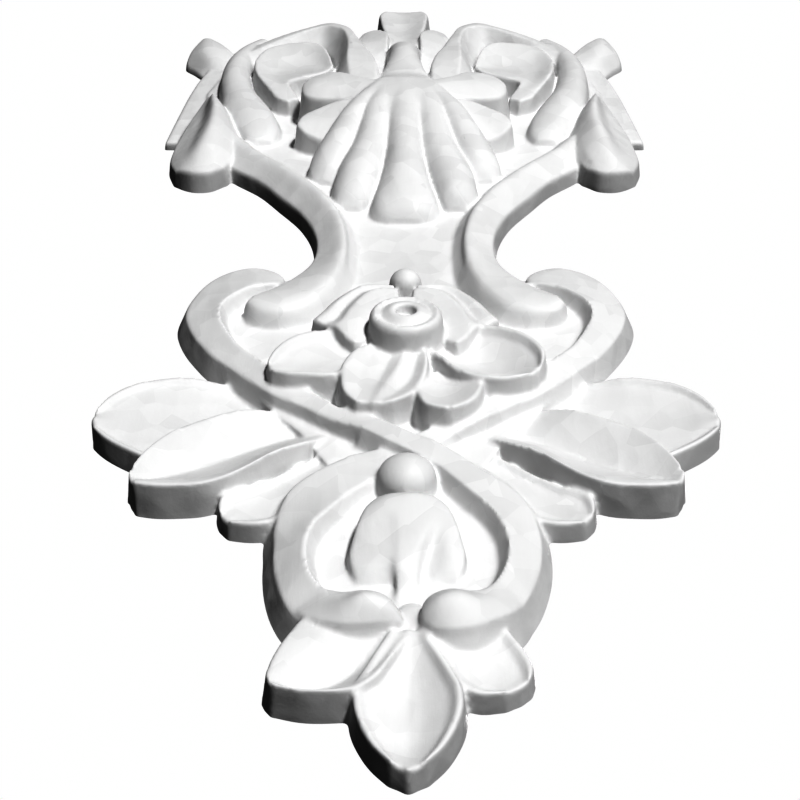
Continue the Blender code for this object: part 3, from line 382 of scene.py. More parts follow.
def scroll(carver, side, height, ridge, outer):
    """One lower scroll: it arcs, runs down across the middle and closes half of the lower loop."""
    start, crest = [[(side * u, v, z) for u, v, z in rail] for rail in (ARC_OUTER, ARC_RIDGE)]
    low = [(side * u, v, height) for u, v in ((-8, -73.2), (-2.9, -77.5), (1.3, -80.9))]
    high = [(side * u, v, height) for u, v in ((-4.6, -70.3), (1.3, -74.8), (5.6, -77.6))]
    slopes = ((carver.wide_draft, carver.draft), carver.soft_draft)
    carver.loft([start + low[:2], crest + high[:2]], along=44, across=6, crisp=True, slopes=slopes)
    slopes = (carver.soft_draft, carver.wide_draft)
    carver.loft([low + ridge, high + outer], along=40, across=6, crisp=True, slopes=slopes)


def lower_scrolls(carver):
    """The two lower scrolls, the left one passing over the right one."""
    scroll(carver, -1.0, 4.9, LEFT_LOOP_RIDGE, LEFT_LOOP_OUTER)
    scroll(carver, 1.0, 6.5, RIGHT_LOOP_RIDGE, RIGHT_LOOP_OUTER)


def curled_ends(carver):
    """The swollen ends of the loop, which curl in to the middle."""
    slopes = (carver.draft, carver.soft_draft)
    far = [(-14.4, -111.4, 4.6), (-12.1, -115.1, 6.1), (-9.1, -116.2, 6.3), (-5.9, -116.5, 6.8),
           (-3.4, -117.5, 6.8), (-1.5, -119.5, 6.2), (-0.6, -121.2, 5.4)]
    crest = [(-16.4, -113, 4.2), (-13.6, -118, 5.6), (-9.8, -119.6, 7.2), (-6.4, -119.8, 8.6),
             (-3.6, -120.2, 8), (-1.6, -121, 6.6), (-0.6, -121.8, 5.2)]
    near = [(-18.2, -114.6, 2.8), (-15.6, -120, 5), (-12.4, -122.4, 5.8), (-8.8, -123.4, 6),
            (-5.4, -123.2, 6), (-2.4, -122.6, 5.6), (-0.6, -122.2, 5)]
    carver.loft([far, crest, near], along=18, across=10, slopes=slopes)
    far = [(14.8, -110.6, 4.6), (12.9, -114, 6.2), (9.6, -116.1, 6.4), (6.6, -116.3, 6.9), (4.2, -117.2, 7),
           (2.6, -118.6, 6.8), (1.9, -120, 6.2)]
    crest = [(16.6, -112, 4.2), (14.2, -117, 5.8), (10.6, -119.4, 7.4), (7, -120, 8.9), (4.6, -120.6, 8.6),
             (2.9, -121.2, 7.6), (1.8, -121.6, 6.4)]
    near = [(18.2, -113.6, 2.8), (15.8, -119.2, 5), (12.4, -122.4, 6), (9, -124.4, 6.2), (6, -124.8, 6.2),
            (3.4, -124, 6), (1.9, -122.6, 5.8)]
    carver.loft([far, crest, near], along=18, across=10, slopes=slopes)
    carver.dome((0.7, -119.6), (2.6, 3.4), 3.8, 4.8)


def side_leaves(carver):
    """Three leaves that fan out from under the scroll on each side."""
    far = [(-24, -52, 0.8), (-30, -52.2, 1.2), (-35, -52, 2.4), (-39.6, -52.3, 3.6), (-44.1, -53.3, 4),
           (-47.7, -54.7, 4.2), (-50.6, -56.8, 4.3), (-53, -59.8, 4.4), (-54.7, -64.2, 4.4)]
    middle = [(-20, -58, 0.6), (-27, -62, 0.8), (-33, -66, 1.2), (-39, -68.4, 2), (-44, -69, 2.6),
              (-48.5, -68.8, 3.1), (-52.2, -68, 3.8), (-55, -67.2, 4.4)]
    near = [(-18, -66, 0.8), (-26, -74, 1.6), (-34, -80, 3), (-41, -80.4, 4), (-44.8, -78.4, 4.4),
            (-48.9, -75.6, 4.5), (-52.2, -72.6, 4.5), (-54.3, -69.8, 4.5)]
    carver.pair(dished(far, middle, near), along=20, across=10, crisp=True, end=UPRIGHT)
    far = [(-14, -62, 0.8), (-20, -61.6, 1.2), (-24.1, -62.4, 3), (-27.4, -64.4, 4.8), (-30.8, -66.8, 5.8),
           (-34, -69, 6.1), (-37.4, -71.4, 6.2), (-39.9, -73.6, 6.3), (-42.1, -76.6, 6.3),
           (-43.9, -80, 6.3), (-44.9, -83, 6.3), (-45.4, -86.4, 6.3)]
    valley = [(-12, -64, 0.8), (-16, -67.4, 1), (-19.5, -69.4, 1.4), (-23.5, -72, 1.8), (-28, -75.2, 2.1),
              (-32, -78.2, 2.4), (-36, -81.4, 2.9), (-40, -84.6, 3.8), (-43.4, -86.8, 5), (-45.2, -87.4, 6)]
    inner = [(-12.4, -67.4, 1.9), (-15.2, -71, 3), (-18.4, -74.2, 4), (-22, -77.4, 4.8),
             (-25.6, -81.2, 5.1), (-29.8, -85, 5.3), (-33.6, -86.8, 5.5), (-37, -87.3, 5.6),
             (-41, -87.8, 5.9), (-44.8, -88.3, 6.1)]
    near = [(-12.4, -69, 2), (-15, -72.8, 3.6), (-18, -76.2, 5.2), (-22, -79.9, 6.1), (-25.8, -84, 6.3),
            (-30.3, -87.9, 6.4), (-33.6, -89.4, 6.4), (-37, -89.8, 6.4), (-41, -89.8, 6.4),
            (-44.2, -89.1, 6.3)]
    carver.pair([far, valley, inner, near], along=30, across=18, crisp=True, end=UPRIGHT)
    far = [(-8, -70, 1.8), (-14, -74, 2), (-20, -80, 2.4), (-26, -85.6, 3), (-30.2, -88.8, 3.5),
           (-30.4, -91.8, 3.5), (-29.8, -94, 3.5)]
    middle = [(-7, -74, 1.8), (-13, -78, 1.9), (-19, -84, 2.2), (-24, -89.4, 2.4), (-27, -92.6, 2.8),
              (-29.1, -95, 3.4)]
    near = [(-5, -77, 2.2), (-11, -80.5, 3.4), (-15.4, -86, 4), (-18.4, -92, 3.8), (-20.4, -95.4, 3.6),
            (-24.9, -96.6, 3.6), (-28.3, -96, 3.5)]
    carver.pair(dished(far, middle, near, depth=0.5), along=18, across=10, crisp=True)


def flower(carver):
    """Petals around a turned boss, over the inner sides of the scrolls."""
    carver.dome((0, -44), (8, 8), 5, 6.4)
    far = [(-4, -40, 6.8), (-12, -41, 7.2), (-18.3, -43.3, 8.2), (-21.6, -46.2, 8.5), (-24.2, -50.8, 8.6),
           (-25, -54.6, 8.7)]
    middle = [(-4, -45, 5.8), (-11, -49, 5.8), (-17, -52.8, 6.4), (-21, -55.4, 7.2), (-24.6, -57, 8.5)]
    near = [(-4, -52, 6.4), (-9, -57.2, 7.6), (-13, -59.4, 8.4), (-17.4, -59.6, 8.7), (-21.8, -59, 8.7),
            (-24, -58, 8.7)]
    carver.loft(dished(far, middle, near, 1.1), along=18, across=10, crisp=True)
    far = [(4, -36, 6.6), (12, -40, 7.8), (18.6, -42.8, 8.9), (21.6, -45.2, 9.2), (24.1, -48.6, 9.3),
           (25.2, -52.4, 9.4), (24.6, -56.4, 9.4)]
    middle = [(4, -43, 5.8), (10, -48, 5), (15, -52.6, 5.5), (19, -56.6, 6.8), (23, -59.2, 9.1)]
    near = [(2, -47.5, 7), (5.8, -52.8, 8.2), (8.4, -58, 8.9), (11.2, -60.7, 9.3), (14, -61.8, 9.4),
            (18.3, -61.9, 9.4), (22.2, -60, 9.4)]
    carver.loft(dished(far, middle, near, 1.1), along=20, across=10, crisp=True)
    left = [(2, -52, 6), (2.4, -60, 7.8), (1.8, -65.4, 8.7), (3.2, -69.4, 9), (7, -71, 9)]
    middle = [(6, -54, 5.4), (6.6, -60, 6.6), (7, -65, 7.6), (7.4, -70.2, 8.8)]
    right = [(11, -55, 6), (13.4, -61, 8.6), (13, -65.4, 9), (11, -68.8, 9), (7.6, -71, 9)]
    carver.loft([left, middle, right], along=16, across=8)
    rim = [(-6, -46, 7.6), (-9.8, -51.1, 8.7), (-11.6, -56, 8.8), (-11.7, -60.6, 8.8), (-10.9, -65, 8.7),
           (-8.7, -68.3, 8.6)]
    dish = [(-4.4, -47, 7.2), (-6.4, -51.6, 7.6), (-7.6, -56, 7.7), (-8.1, -60.4, 7.8), (-8.2, -64.4, 8),
            (-7.8, -68.3, 8.4)]
    fold = [(-1.8, -48, 7.2), (-3, -52.6, 7.2), (-4, -56.6, 7.2), (-5, -60.6, 7.5), (-5.8, -64.6, 8),
            (-6.5, -68.5, 8.3)]
    ridge = [(0.3, -48, 7.8), (-0.7, -52.6, 8.1), (-1.7, -56.8, 8.2), (-3.2, -61, 8.2), (-4.6, -65, 8.4),
             (-5.8, -68.8, 8.5)]
    hollow = [(1.8, -48, 7.4), (1.7, -52.6, 7.3), (1.2, -57, 7.3), (0, -61.2, 7.4), (-2, -64.8, 7.8),
              (-4.6, -68.6, 8.4)]
    edge = [(3.2, -48, 8.2), (3.9, -52.6, 8.7), (3.8, -57, 8.8), (2.9, -61.6, 8.8), (1.1, -65.5, 8.7),
            (-2.4, -68.2, 8.6)]
    carver.loft([rim, dish, fold, ridge, hollow, edge], along=20, across=15, crisp=True)
    edge = [(-2, -26.6, 8.4), (-5.4, -26.1, 8.6), (-8.3, -25.9, 8.4), (-11.2, -28, 8.1), (-14.1, -31.8, 8),
            (-16, -35.8, 8), (-17.8, -39.2, 8.1)]
    strip = [(-2, -27.4, 9.2), (-5.6, -27.1, 9.4), (-8.4, -27.5, 9.2), (-11, -30, 9), (-13.4, -33.7, 8.8),
             (-15, -37.2, 8.7), (-16.9, -40, 8.4)]
    fold = [(-2, -28.4, 8.6), (-4.6, -28.4, 8.6), (-7.8, -29, 8.5), (-10.3, -31.9, 8.1),
            (-11.9, -35.1, 7.9), (-13.4, -39.1, 7.9), (-15.4, -40.9, 8.1)]
    body = [(-1.4, -29.4, 9.8), (-4, -29.5, 9.9), (-6.8, -30.7, 9.9), (-9, -33.7, 9.6), (-10.6, -37.1, 9.4),
            (-12, -41.2, 9.2), (-13.2, -43, 9)]
    shelf = [(-1, -33, 9.2), (-3.4, -33.4, 9.2), (-5.6, -35, 9.1), (-7.4, -38, 9), (-8.8, -41, 8.9),
             (-10.2, -44.6, 8.8), (-11.3, -46.4, 8.7)]
    root = [(0, -37, 8), (-2.4, -37.4, 8), (-4, -39, 8), (-5.4, -41.4, 8), (-6.6, -44, 8), (-7.8, -47, 8.2),
            (-9.4, -48.4, 8.4)]
    carver.pair([edge, strip, fold, body, shelf, root], along=16, across=20, crisp=True)
    profile = [(0, BELOW_BACK), (8.2, BELOW_BACK), (7.3, 6.4), (7, 9), (6.8, 11.4), (6.4, 12.3),
               (5.8, 12.6), (5.2, 12.3), (4.8, 12), (4.2, 12.4), (3.2, 13), (2.4, 13.2), (1.9, 12.9),
               (1.7, 10.8), (0, 10.6)]
    carver.ring((0, -44), profile)
    carver.dome((0, -23.5), (3.2, 3.2), 7.4, 10.4)


def bud(carver):
    """The bead and the closed bud inside the loop."""
    carver.dome((0, -86.5), (4.8, 4.8), 5.4, 9.0)
    side = [(-3.6, -92.2, 4.8), (-4.8, -94.4, 7), (-6.4, -96.6, 7.3), (-7.6, -99.6, 6.8), (-8.4, -103, 6.1),
            (-8.9, -106.6, 5.3), (-8.4, -109.2, 4.5), (-7.6, -110.9, 3.3)]
    cheek = [(-2.6, -92, 5), (-3.4, -94.4, 7.7), (-4.6, -97, 7.9), (-5.4, -100.4, 7.3), (-5.8, -104, 6.6),
             (-5.8, -107.4, 5.7), (-5.7, -109.4, 4.9), (-5.4, -111.2, 3.3)]
    flank = [(-1.3, -91.8, 5), (-1.8, -94.4, 8), (-2.4, -97.4, 8.2), (-2.7, -101, 7.5), (-2.9, -104.8, 6.8),
             (-2.8, -107.6, 6.1), (-2.5, -109.2, 5.2), (-2.2, -110.8, 3.6)]
    tail = [(-0.4, -91.8, 5), (-0.6, -94.4, 8.1), (-0.8, -97.6, 8.3), (-0.9, -101.6, 7.7), (-1, -105.6, 7),
            (-1, -109.4, 5.8), (-1, -112, 4.5), (-1, -114.4, 3.3), (-1, -116.6, 2.5)]
    right_tail = [(0.9, -91.8, 5), (1.4, -94.4, 8.1), (2.2, -97.6, 8.2), (2.8, -101.4, 7.7), (2, -104.8, 7),
                  (1, -108, 6.1), (0.9, -111.2, 4.8), (0.9, -114, 3.4), (0.9, -116.6, 2.5)]
    notch = [(2.2, -92, 5), (2.9, -94.4, 7.8), (3.8, -97.2, 8), (4.4, -101.2, 7.4), (3.9, -104.6, 5.8),
             (2.8, -107.6, 4.3), (2.4, -110, 3.4), (2.4, -112, 2.7)]
    right_cheek = [(3, -92.1, 5), (4, -94.4, 7.5), (5, -97, 7.7), (5.8, -100.4, 7.1), (6.2, -104, 6.4),
                   (6.2, -107.4, 5.4), (6.1, -109.2, 4.6), (5.9, -110.8, 3.2)]
    carver.loft([side, cheek, flank, tail, right_tail, notch, right_cheek] + mirrored([side]),
                along=20, across=24)


def foot_leaves(carver):
    """The three leaves at the lower end, the left one larger than the right one."""
    left = [(-2.5, -123, 5), (-5.5, -129.6, 5.2), (-7.5, -135.2, 4.9), (-7.3, -139, 4.7), (-6.3, -142, 4.5),
            (-4.6, -145.2, 4.3), (-2.3, -147.9, 4.2)]
    middle = [(0, -123, 5.2), (0, -130, 2.9), (0, -138, 2.1), (0, -144, 2.3), (0, -149.2, 4.1)]
    carver.loft(dished(left, middle, mirrored([left])[0], depth=0.4), along=20, across=10, crisp=True)
    edge = [(-14.8, -119.4, 4.6), (-16.1, -122, 5.2), (-17.2, -124.6, 5.4), (-18.4, -127.6, 5.5),
            (-19.2, -130.6, 5.6), (-19.6, -133, 5.6)]
    shelf = [(-10.4, -120.6, 4.4), (-12, -123.6, 4.9), (-13.6, -126.4, 5), (-15.4, -129, 5),
             (-17.4, -131.4, 5.2), (-19.4, -133.5, 5.5)]
    valley = [(-3.6, -122.4, 4.2), (-5.4, -126.6, 3), (-7.8, -129.8, 2.5), (-10.6, -132.2, 2.4),
              (-13.6, -133.4, 2.7), (-16.6, -134, 3.8), (-19.1, -134.2, 5.5)]
    near = [(0.2, -124.5, 5), (-2.2, -129.2, 5.6), (-4.6, -133.5, 5.8), (-7.2, -135.6, 5.8),
            (-10.6, -136.1, 5.8), (-14.6, -136, 5.8), (-18.4, -135, 5.7)]
    carver.loft([edge, shelf, valley, near], along=20, across=15, crisp=True)
    edge = [(12, -118, 4.2), (14.4, -121.6, 3.9), (16.6, -125.6, 3.6), (17.6, -129.4, 3.5),
            (17, -131.8, 3.5)]
    middle = [(7, -120, 3.8), (9.4, -124, 3), (12, -128, 2.4), (14.6, -131.4, 2.6), (15.6, -133.2, 3.4)]
    near = [(2, -121, 4.6), (4.6, -128, 4.2), (7, -133, 3.7), (9.6, -134.7, 3.6), (13.4, -134.4, 3.5)]
    carver.loft(dished(edge, middle, near, depth=0.4), along=14, across=10, crisp=True)


def crown_leaves(carver):
    """The thin blade, the upper petal and the hanging leaf at each side of the crown."""
    outer = [(-43.5, 123.6, 4.2), (-47.4, 122, 3.6), (-50.2, 119.6, 3), (-53, 113.6, 2.6),
             (-55.5, 104, 2.4), (-57, 93.4, 2.2), (-58, 80.6, 2.2), (-58.9, 67.1, 2.2), (-59.3, 60.6, 2.2)]
    inner = [(-38, 116, 4.4), (-42, 112, 3.6), (-46, 104, 2.6), (-49, 88, 2.2), (-51, 72, 2.2),
             (-52, 60.6, 2.2)]
    carver.pair([outer, inner], along=20, across=4, end=UPRIGHT)
    rim = [(-55, 108, 1), (-58, 112.6, 1.2), (-60.8, 116.6, 1.5), (-60.3, 120.5, 3.4), (-58.5, 125, 4.8),
           (-56.9, 128.4, 5.5)]
    crest = [(-51, 108, 1.6), (-54.2, 114.6, 4.8), (-55.8, 121, 5.9), (-56.2, 128, 5.7)]
    edge = [(-44, 108, 1.4), (-46.4, 116.5, 4.2), (-50.4, 122.6, 5.3), (-54.6, 127.8, 5.6)]
    carver.pair([rim, crest, edge], along=12, across=6)
    rim = [(-51.2, 85.9, 4.5), (-52.7, 79.8, 3.6), (-54.3, 71.3, 3.2), (-55.6, 61.3, 3), (-56.2, 52.6, 3),
           (-56, 45.6, 3.2), (-54, 39, 3.8)]
    gully = [(-50.4, 84.5, 5.1), (-50.9, 76, 5.2), (-50.8, 67.5, 5.4), (-51, 59.7, 5.6), (-51.5, 51, 5.8),
             (-52, 44.4, 5.8), (-51.8, 37.2, 4.8)]
    crest = [(-49.4, 83, 6.4), (-48.2, 74, 9), (-46.8, 66, 9.8), (-46.2, 58, 9.8), (-46.8, 50.4, 9.3),
             (-48, 44, 8.1), (-49.4, 36, 4.9)]
    back = [(-48.8, 80, 6.2), (-45.4, 71, 7.4), (-43.6, 63, 7.7), (-43, 56, 7.7), (-43, 49, 7.5),
            (-43.8, 43, 6.9), (-45.8, 36.2, 4.8)]
    edge = [(-48.2, 79, 4.8), (-44.6, 71.8, 4.8), (-41.8, 63, 4.6), (-40, 56, 4.4), (-39.6, 51, 4.4),
            (-40.2, 46.2, 4.6), (-42.4, 39.4, 4.7)]
    carver.pair([rim, gully, crest, back, edge], along=22, across=16)


def crown_scrolls(carver):
    """The tube-like band, the eye inside it and the arch over them, at each side of the crown."""
    path = [(-38.6, 120, 2.6, 8.2, 5.4), (-42.2, 114, 2.9, 8.4, 5), (-44.4, 106, 3.5, 8.6, 4.8),
            (-44.8, 98, 4, 8.7, 4.5), (-44.2, 90, 4.4, 8.7, 4.2), (-42.6, 82, 5, 8.7, 4),
            (-40.4, 75, 5.7, 8.6, 3.8), (-38.2, 69, 6, 8.2, 3.6), (-36.2, 63.2, 5.8, 7.6, 3.4),
            (-35, 58.8, 4.8, 6.3, 3.3), (-34.5, 55.8, 2.8, 4.4, 3.2)]
    carver.pair(tube(path), along=28, across=12)
    outer = [(-18.7, 96.6, 8.8), (-19.9, 102.5, 9.7), (-21.7, 108.2, 10.2), (-24.3, 111.6, 10.2),
             (-28.5, 112.5, 10), (-33, 112.2, 9.6), (-36.6, 110.2, 9.3), (-39, 105.2, 9.2),
             (-39.8, 99, 9.2), (-39.5, 94, 9.1), (-38.2, 89.4, 8.7), (-36.6, 85.8, 8.3), (-34.6, 81.6, 7.8),
             (-32.2, 77, 7.3), (-29.2, 75.2, 7.1)]
    middle = [(-19, 96, 8.6), (-21.5, 98.5, 7.9), (-24.5, 100.5, 7.4), (-28, 100.6, 7.1),
              (-31.5, 98.6, 7.1), (-33.4, 95, 7.3), (-33.8, 91, 7.6), (-33.2, 87.6, 7.8), (-32.2, 84, 7.9),
              (-30.8, 80.4, 7.8), (-28.6, 76, 7.2)]
    inner = [(-19.2, 95.2, 8.7), (-20.8, 92.4, 8.7), (-23, 90.8, 8.6), (-25.5, 89.4, 8.5), (-28, 88.2, 8.4),
             (-29.3, 87.2, 8.3), (-29.8, 86, 8.3), (-29.5, 84, 8.3), (-28.9, 82.6, 8), (-28.2, 81, 7.7),
             (-27.5, 79.6, 7.4), (-27, 78.2, 7.2), (-26.6, 77, 7.1)]
    carver.pair([outer, middle, inner], along=28, across=10)
    outer = [(-44, 112, 7), (-39, 115.2, 8.6), (-33, 119.4, 9.6), (-26.4, 122.4, 10.6),
             (-20.7, 124.2, 11.3), (-16.2, 121, 11.6), (-12.9, 112, 11.8), (-10.4, 103, 12), (-8, 95, 12.2),
             (-6.8, 88, 11.8), (-7, 78, 10.4)]
    ridge = [(-43, 108, 8), (-38, 111.6, 9), (-32.5, 115.8, 10), (-26.5, 119.2, 11), (-21, 120.4, 11.8),
             (-17.6, 117.6, 12.2), (-15.4, 110, 12.4), (-15, 102, 12.6), (-15, 94, 12.6), (-13.6, 80, 10.8)]
    floor = [(-42, 104, 6), (-37, 107, 6), (-31.5, 112, 5.8), (-27, 115.4, 5.6), (-22.8, 115.8, 5.4),
             (-20, 111.6, 5.4), (-18.8, 104, 5.6), (-18.4, 97, 6.6), (-17.8, 90, 8.4), (-17.5, 82, 9)]
    carver.pair([outer, ridge, floor], along=28, across=10, crisp=True)
    carver.dome((-30, 100), (10, 10), 4.4, 5.2)
    carver.dome((30, 100), (10, 10), 4.4, 5.2)


def crown_lobes(carver):
    """The two side lobes, the small lobes, the knob and the plume around the shell."""
    far = [(-25.5, 74.4, 12.2), (-23.6, 77, 12.8), (-20.1, 79.1, 13.3), (-16.3, 79.6, 13.5),
           (-12.4, 75.6, 14), (-6, 72, 14)]
    middle = [(-25.7, 72.8, 12.1), (-23, 71.4, 13), (-19.5, 71.6, 13.4), (-15, 72, 13.6), (-6, 69, 14)]
    near = [(-25.7, 71.4, 11.6), (-25.2, 69, 11.4), (-23.6, 67.2, 11.2), (-20.8, 66.2, 11.2),
            (-17, 65.8, 11.4), (-12, 65.4, 12.2), (-6, 64, 13)]
    carver.pair([far, middle, near], along=14, across=8)
    far = [(-26, 56, 9.4), (-24.6, 60, 9.8), (-21.2, 62.4, 10.6), (-17.1, 64.4, 11.6), (-12, 65, 12.4),
           (-6, 66, 12.4)]
    middle = [(-26.1, 55.2, 9.3), (-24, 55.8, 9.6), (-21, 56.6, 9.8), (-16, 57.6, 10.4), (-8, 58, 11)]
    near = [(-26, 54.4, 9), (-24.4, 52.2, 8.4), (-22, 50.6, 7.6), (-18, 49, 7.2), (-8, 50, 8)]
    carver.pair([far, middle, near], along=12, across=6)
    left = [(-14, 98, 4.4), (-14.6, 112, 4.6), (-13.9, 124, 5.4), (-11.6, 130, 6.2)]
    middle = [(-9.4, 98, 4.8), (-9.8, 112, 5.8), (-10, 122, 6.9), (-9.4, 130.2, 7.1)]
    right = [(-4, 96, 4.8), (-4.4, 108, 5.8), (-4.4, 118, 7.8), (-4.8, 126, 8.2), (-6.8, 129.6, 7.6)]
    carver.pair([left, middle, right], along=14, across=10)
    path = [(0, 113, 4.8, 8.2, 7), (0, 109, 4.5, 11, 7.4), (0, 104.6, 4.3, 12.3, 7.6),
            (0, 99, 4.7, 12.6, 7.8), (0, 94, 5.4, 12.2, 8), (0, 89, 6.4, 11.4, 8.4),
            (0, 85, 7.2, 11.2, 8.8), (0, 81, 7.9, 12, 9.4), (0, 77, 8.5, 13.4, 10.4), (0, 72, 9.2, 14, 11)]
    carver.loft(tube(path), along=22, across=14)
    left = [(-2, 110, 7), (-4.2, 122, 6.5), (-5.8, 132.5, 6.5), (-6.8, 141, 6.6), (-6.9, 146.6, 6.7),
            (-5.6, 149, 6.7)]
    valley = [(0, 110, 7), (0, 122, 6), (0, 130, 5.3), (0, 140, 5.2), (0, 150.2, 6)]
    carver.loft([left, valley] + mirrored([left]), along=18, across=8)


def shell(carver):
    """Five lobes that run down from the summit and swell to rounded feet."""
    cap = [(0, 73, 8.6, 14.8, 13), (0, 66, 9.4, 14.6, 12.8), (0, 58, 10, 13.4, 11.2),
           (0, 50, 10.2, 11.8, 9), (0, 43, 9.6, 9.8, 6.6), (0, 38, 8, 7, 4.6)]
    carver.loft(tube(cap), along=20, across=24)
    centre = [(0, 72, 4.6, 15, 13.6), (0, 60, 4, 14.2, 12), (0, 50, 4, 13.1, 10.4), (0, 42, 4.4, 12.1, 8),
              (0, 36, 5, 11.2, 5.6), (0, 30, 5.8, 10.4, 4.4), (0, 24.6, 6.8, 9.5, 3.8),
              (0, 20, 7.7, 8.7, 3.5), (0, 16.6, 7.9, 7.8, 3.3), (0, 14, 6.9, 6.2, 3.1), (0, 12.3, 4, 4, 3)]
    carver.loft(tube(centre), along=34, across=16)
    middle = [(-3, 71, 2.6, 14.8, 13.4), (-6, 60, 3.2, 13.9, 12), (-7.1, 50, 3.8, 12.6, 9.8),
              (-8.1, 42, 4.6, 11.3, 7.2), (-9.6, 36, 5.3, 10.4, 4.8), (-10.7, 30.6, 5.6, 9.7, 4),
              (-11.4, 26, 5.3, 9, 3.6), (-11.8, 22.4, 4.9, 8.2, 3.4), (-11.9, 19.8, 3.8, 6.4, 3.2),
              (-11.9, 18.2, 2.2, 4, 3.1)]
    carver.pair(tube(middle), along=34, across=14)
    side = [(-5.6, 70, 2.6, 14.6, 12.8), (-11, 60, 3.1, 13.5, 11), (-13.6, 52, 3.9, 12.3, 8.8),
            (-15, 47, 4.6, 11.3, 6.8), (-16.4, 42.4, 5, 10.3, 5), (-17.6, 38.4, 5, 9, 3.9),
            (-18.5, 35, 4.2, 7, 3.4), (-18.9, 32.6, 2.4, 4.2, 3.1)]
    carver.pair(tube(side), along=28, across=14)


FORMS = (field, upper_bands, lower_scrolls, curled_ends, side_leaves, flower, bud, foot_leaves, crown_leaves,
         crown_scrolls, crown_lobes, shell)


def upright(bm):
    """Stand the relief up: its height above the back becomes depth towards -Y, in metres."""
    for vert in bm.verts:
        vert.co = (vert.co.x * MM, -vert.co.z * MM, vert.co.y * MM)
    bmesh.ops.recalc_face_normals(bm, faces=bm.faces)


def baked(mesh, modify):
    """Give the mesh that the modifiers set by modify make of a mesh."""
    holder = bpy.data.objects.new("holder", mesh)
    bpy.context.scene.collection.objects.link(holder)
    modify(holder)
    graph = bpy.context.evaluated_depsgraph_get()
    made = bpy.data.meshes.new_from_object(holder.evaluated_get(graph))
    bpy.data.objects.remove(holder)
    bpy.data.meshes.remove(mesh)
    return made


def fused(bm, sizes):
    """Join all forms into one skin and soften it."""
    mesh = bpy.data.meshes.new("forms")
    bm.to_mesh(mesh)
    bm.free()

    def modify(holder):
        remesh = holder.modifiers.new("Fuse", "REMESH")
        remesh.mode = "VOXEL"
        remesh.voxel_size = sizes.carving_step
        soften = holder.modifiers.new("Soften", "SMOOTH")
        soften.factor = 0.5
        soften.iterations = sizes.softening

    return baked(mesh, modify)


def thinned(mesh, sizes):
    """Thin a skin to the wanted count of triangles."""
    ratio = min(sizes.triangles / len(mesh.polygons), 1.0)

    def modify(holder):
        thin = holder.modifiers.new("Thin out", "DECIMATE")
        thin.ratio = ratio

    return baked(mesh, modify)


def flat_back(mesh):
    """Cut the skin off at the plane of its back and close it with a flat face."""
    bm = bmesh.new()
    bm.from_mesh(mesh)
    geometry = bm.verts[:] + bm.edges[:] + bm.faces[:]
    bmesh.ops.bisect_plane(bm, geom=geometry, plane_co=(0, 0, 0), plane_no=(0, 1, 0), clear_outer=True)
    bmesh.ops.edgenet_fill(bm, edges=[edge for edge in bm.edges if edge.is_boundary])
    bmesh.ops.triangulate(bm, faces=bm.faces)
    bmesh.ops.recalc_face_normals(bm, faces=bm.faces)
    bm.to_mesh(mesh)
    bm.free()


def fitted(mesh):
    """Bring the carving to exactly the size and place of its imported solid."""
    low = [min(vert.co[axis] for vert in mesh.vertices) for axis in range(3)]
    high = [max(vert.co[axis] for vert in mesh.vertices) for axis in range(3)]
    for vert in mesh.vertices:
        for axis in range(3):
            share = (vert.co[axis] - low[axis]) / (high[axis] - low[axis])
            vert.co[axis] = LOW[axis] + share * (HIGH[axis] - LOW[axis])


class Shade:
    """A socket of a material's nodes, on which sums are written as Python expressions."""

    def __init__(self, tree, socket=None):
        self.tree = tree
        self.socket = socket

    def add(self, kind, settings, values, output=0):
        """Add a node with its settings, then the values or links of its sockets."""
        node = self.tree.nodes.new(kind)
        for name, value in settings.items():
            setattr(node, name, value)
        for key, value in values.items():
            if isinstance(value, Shade):
                self.tree.links.new(value.socket, node.inputs[key])
            else:
                node.inputs[key].default_value = value
        return Shade(self.tree, node.outputs[output])

    def maths(self, operation, first, second):
        """Add a Math node for one operation on two values."""
        return self.add("ShaderNodeMath", {"operation": operation}, {0: first, 1: second})

    def __add__(self, other):
        return self.maths("ADD", self, other)

    def __radd__(self, other):
        return self.maths("ADD", other, self)

    def __mul__(self, other):
        return self.maths("MULTIPLY", self, other)

    def __rmul__(self, other):
        return self.maths("MULTIPLY", other, self)


def noise(place, scale, detail):
    """Give soft noise between 0 and 1."""
    return place.add("ShaderNodeTexNoise", {}, {"Vector": place, "Scale": scale, "Detail": detail})


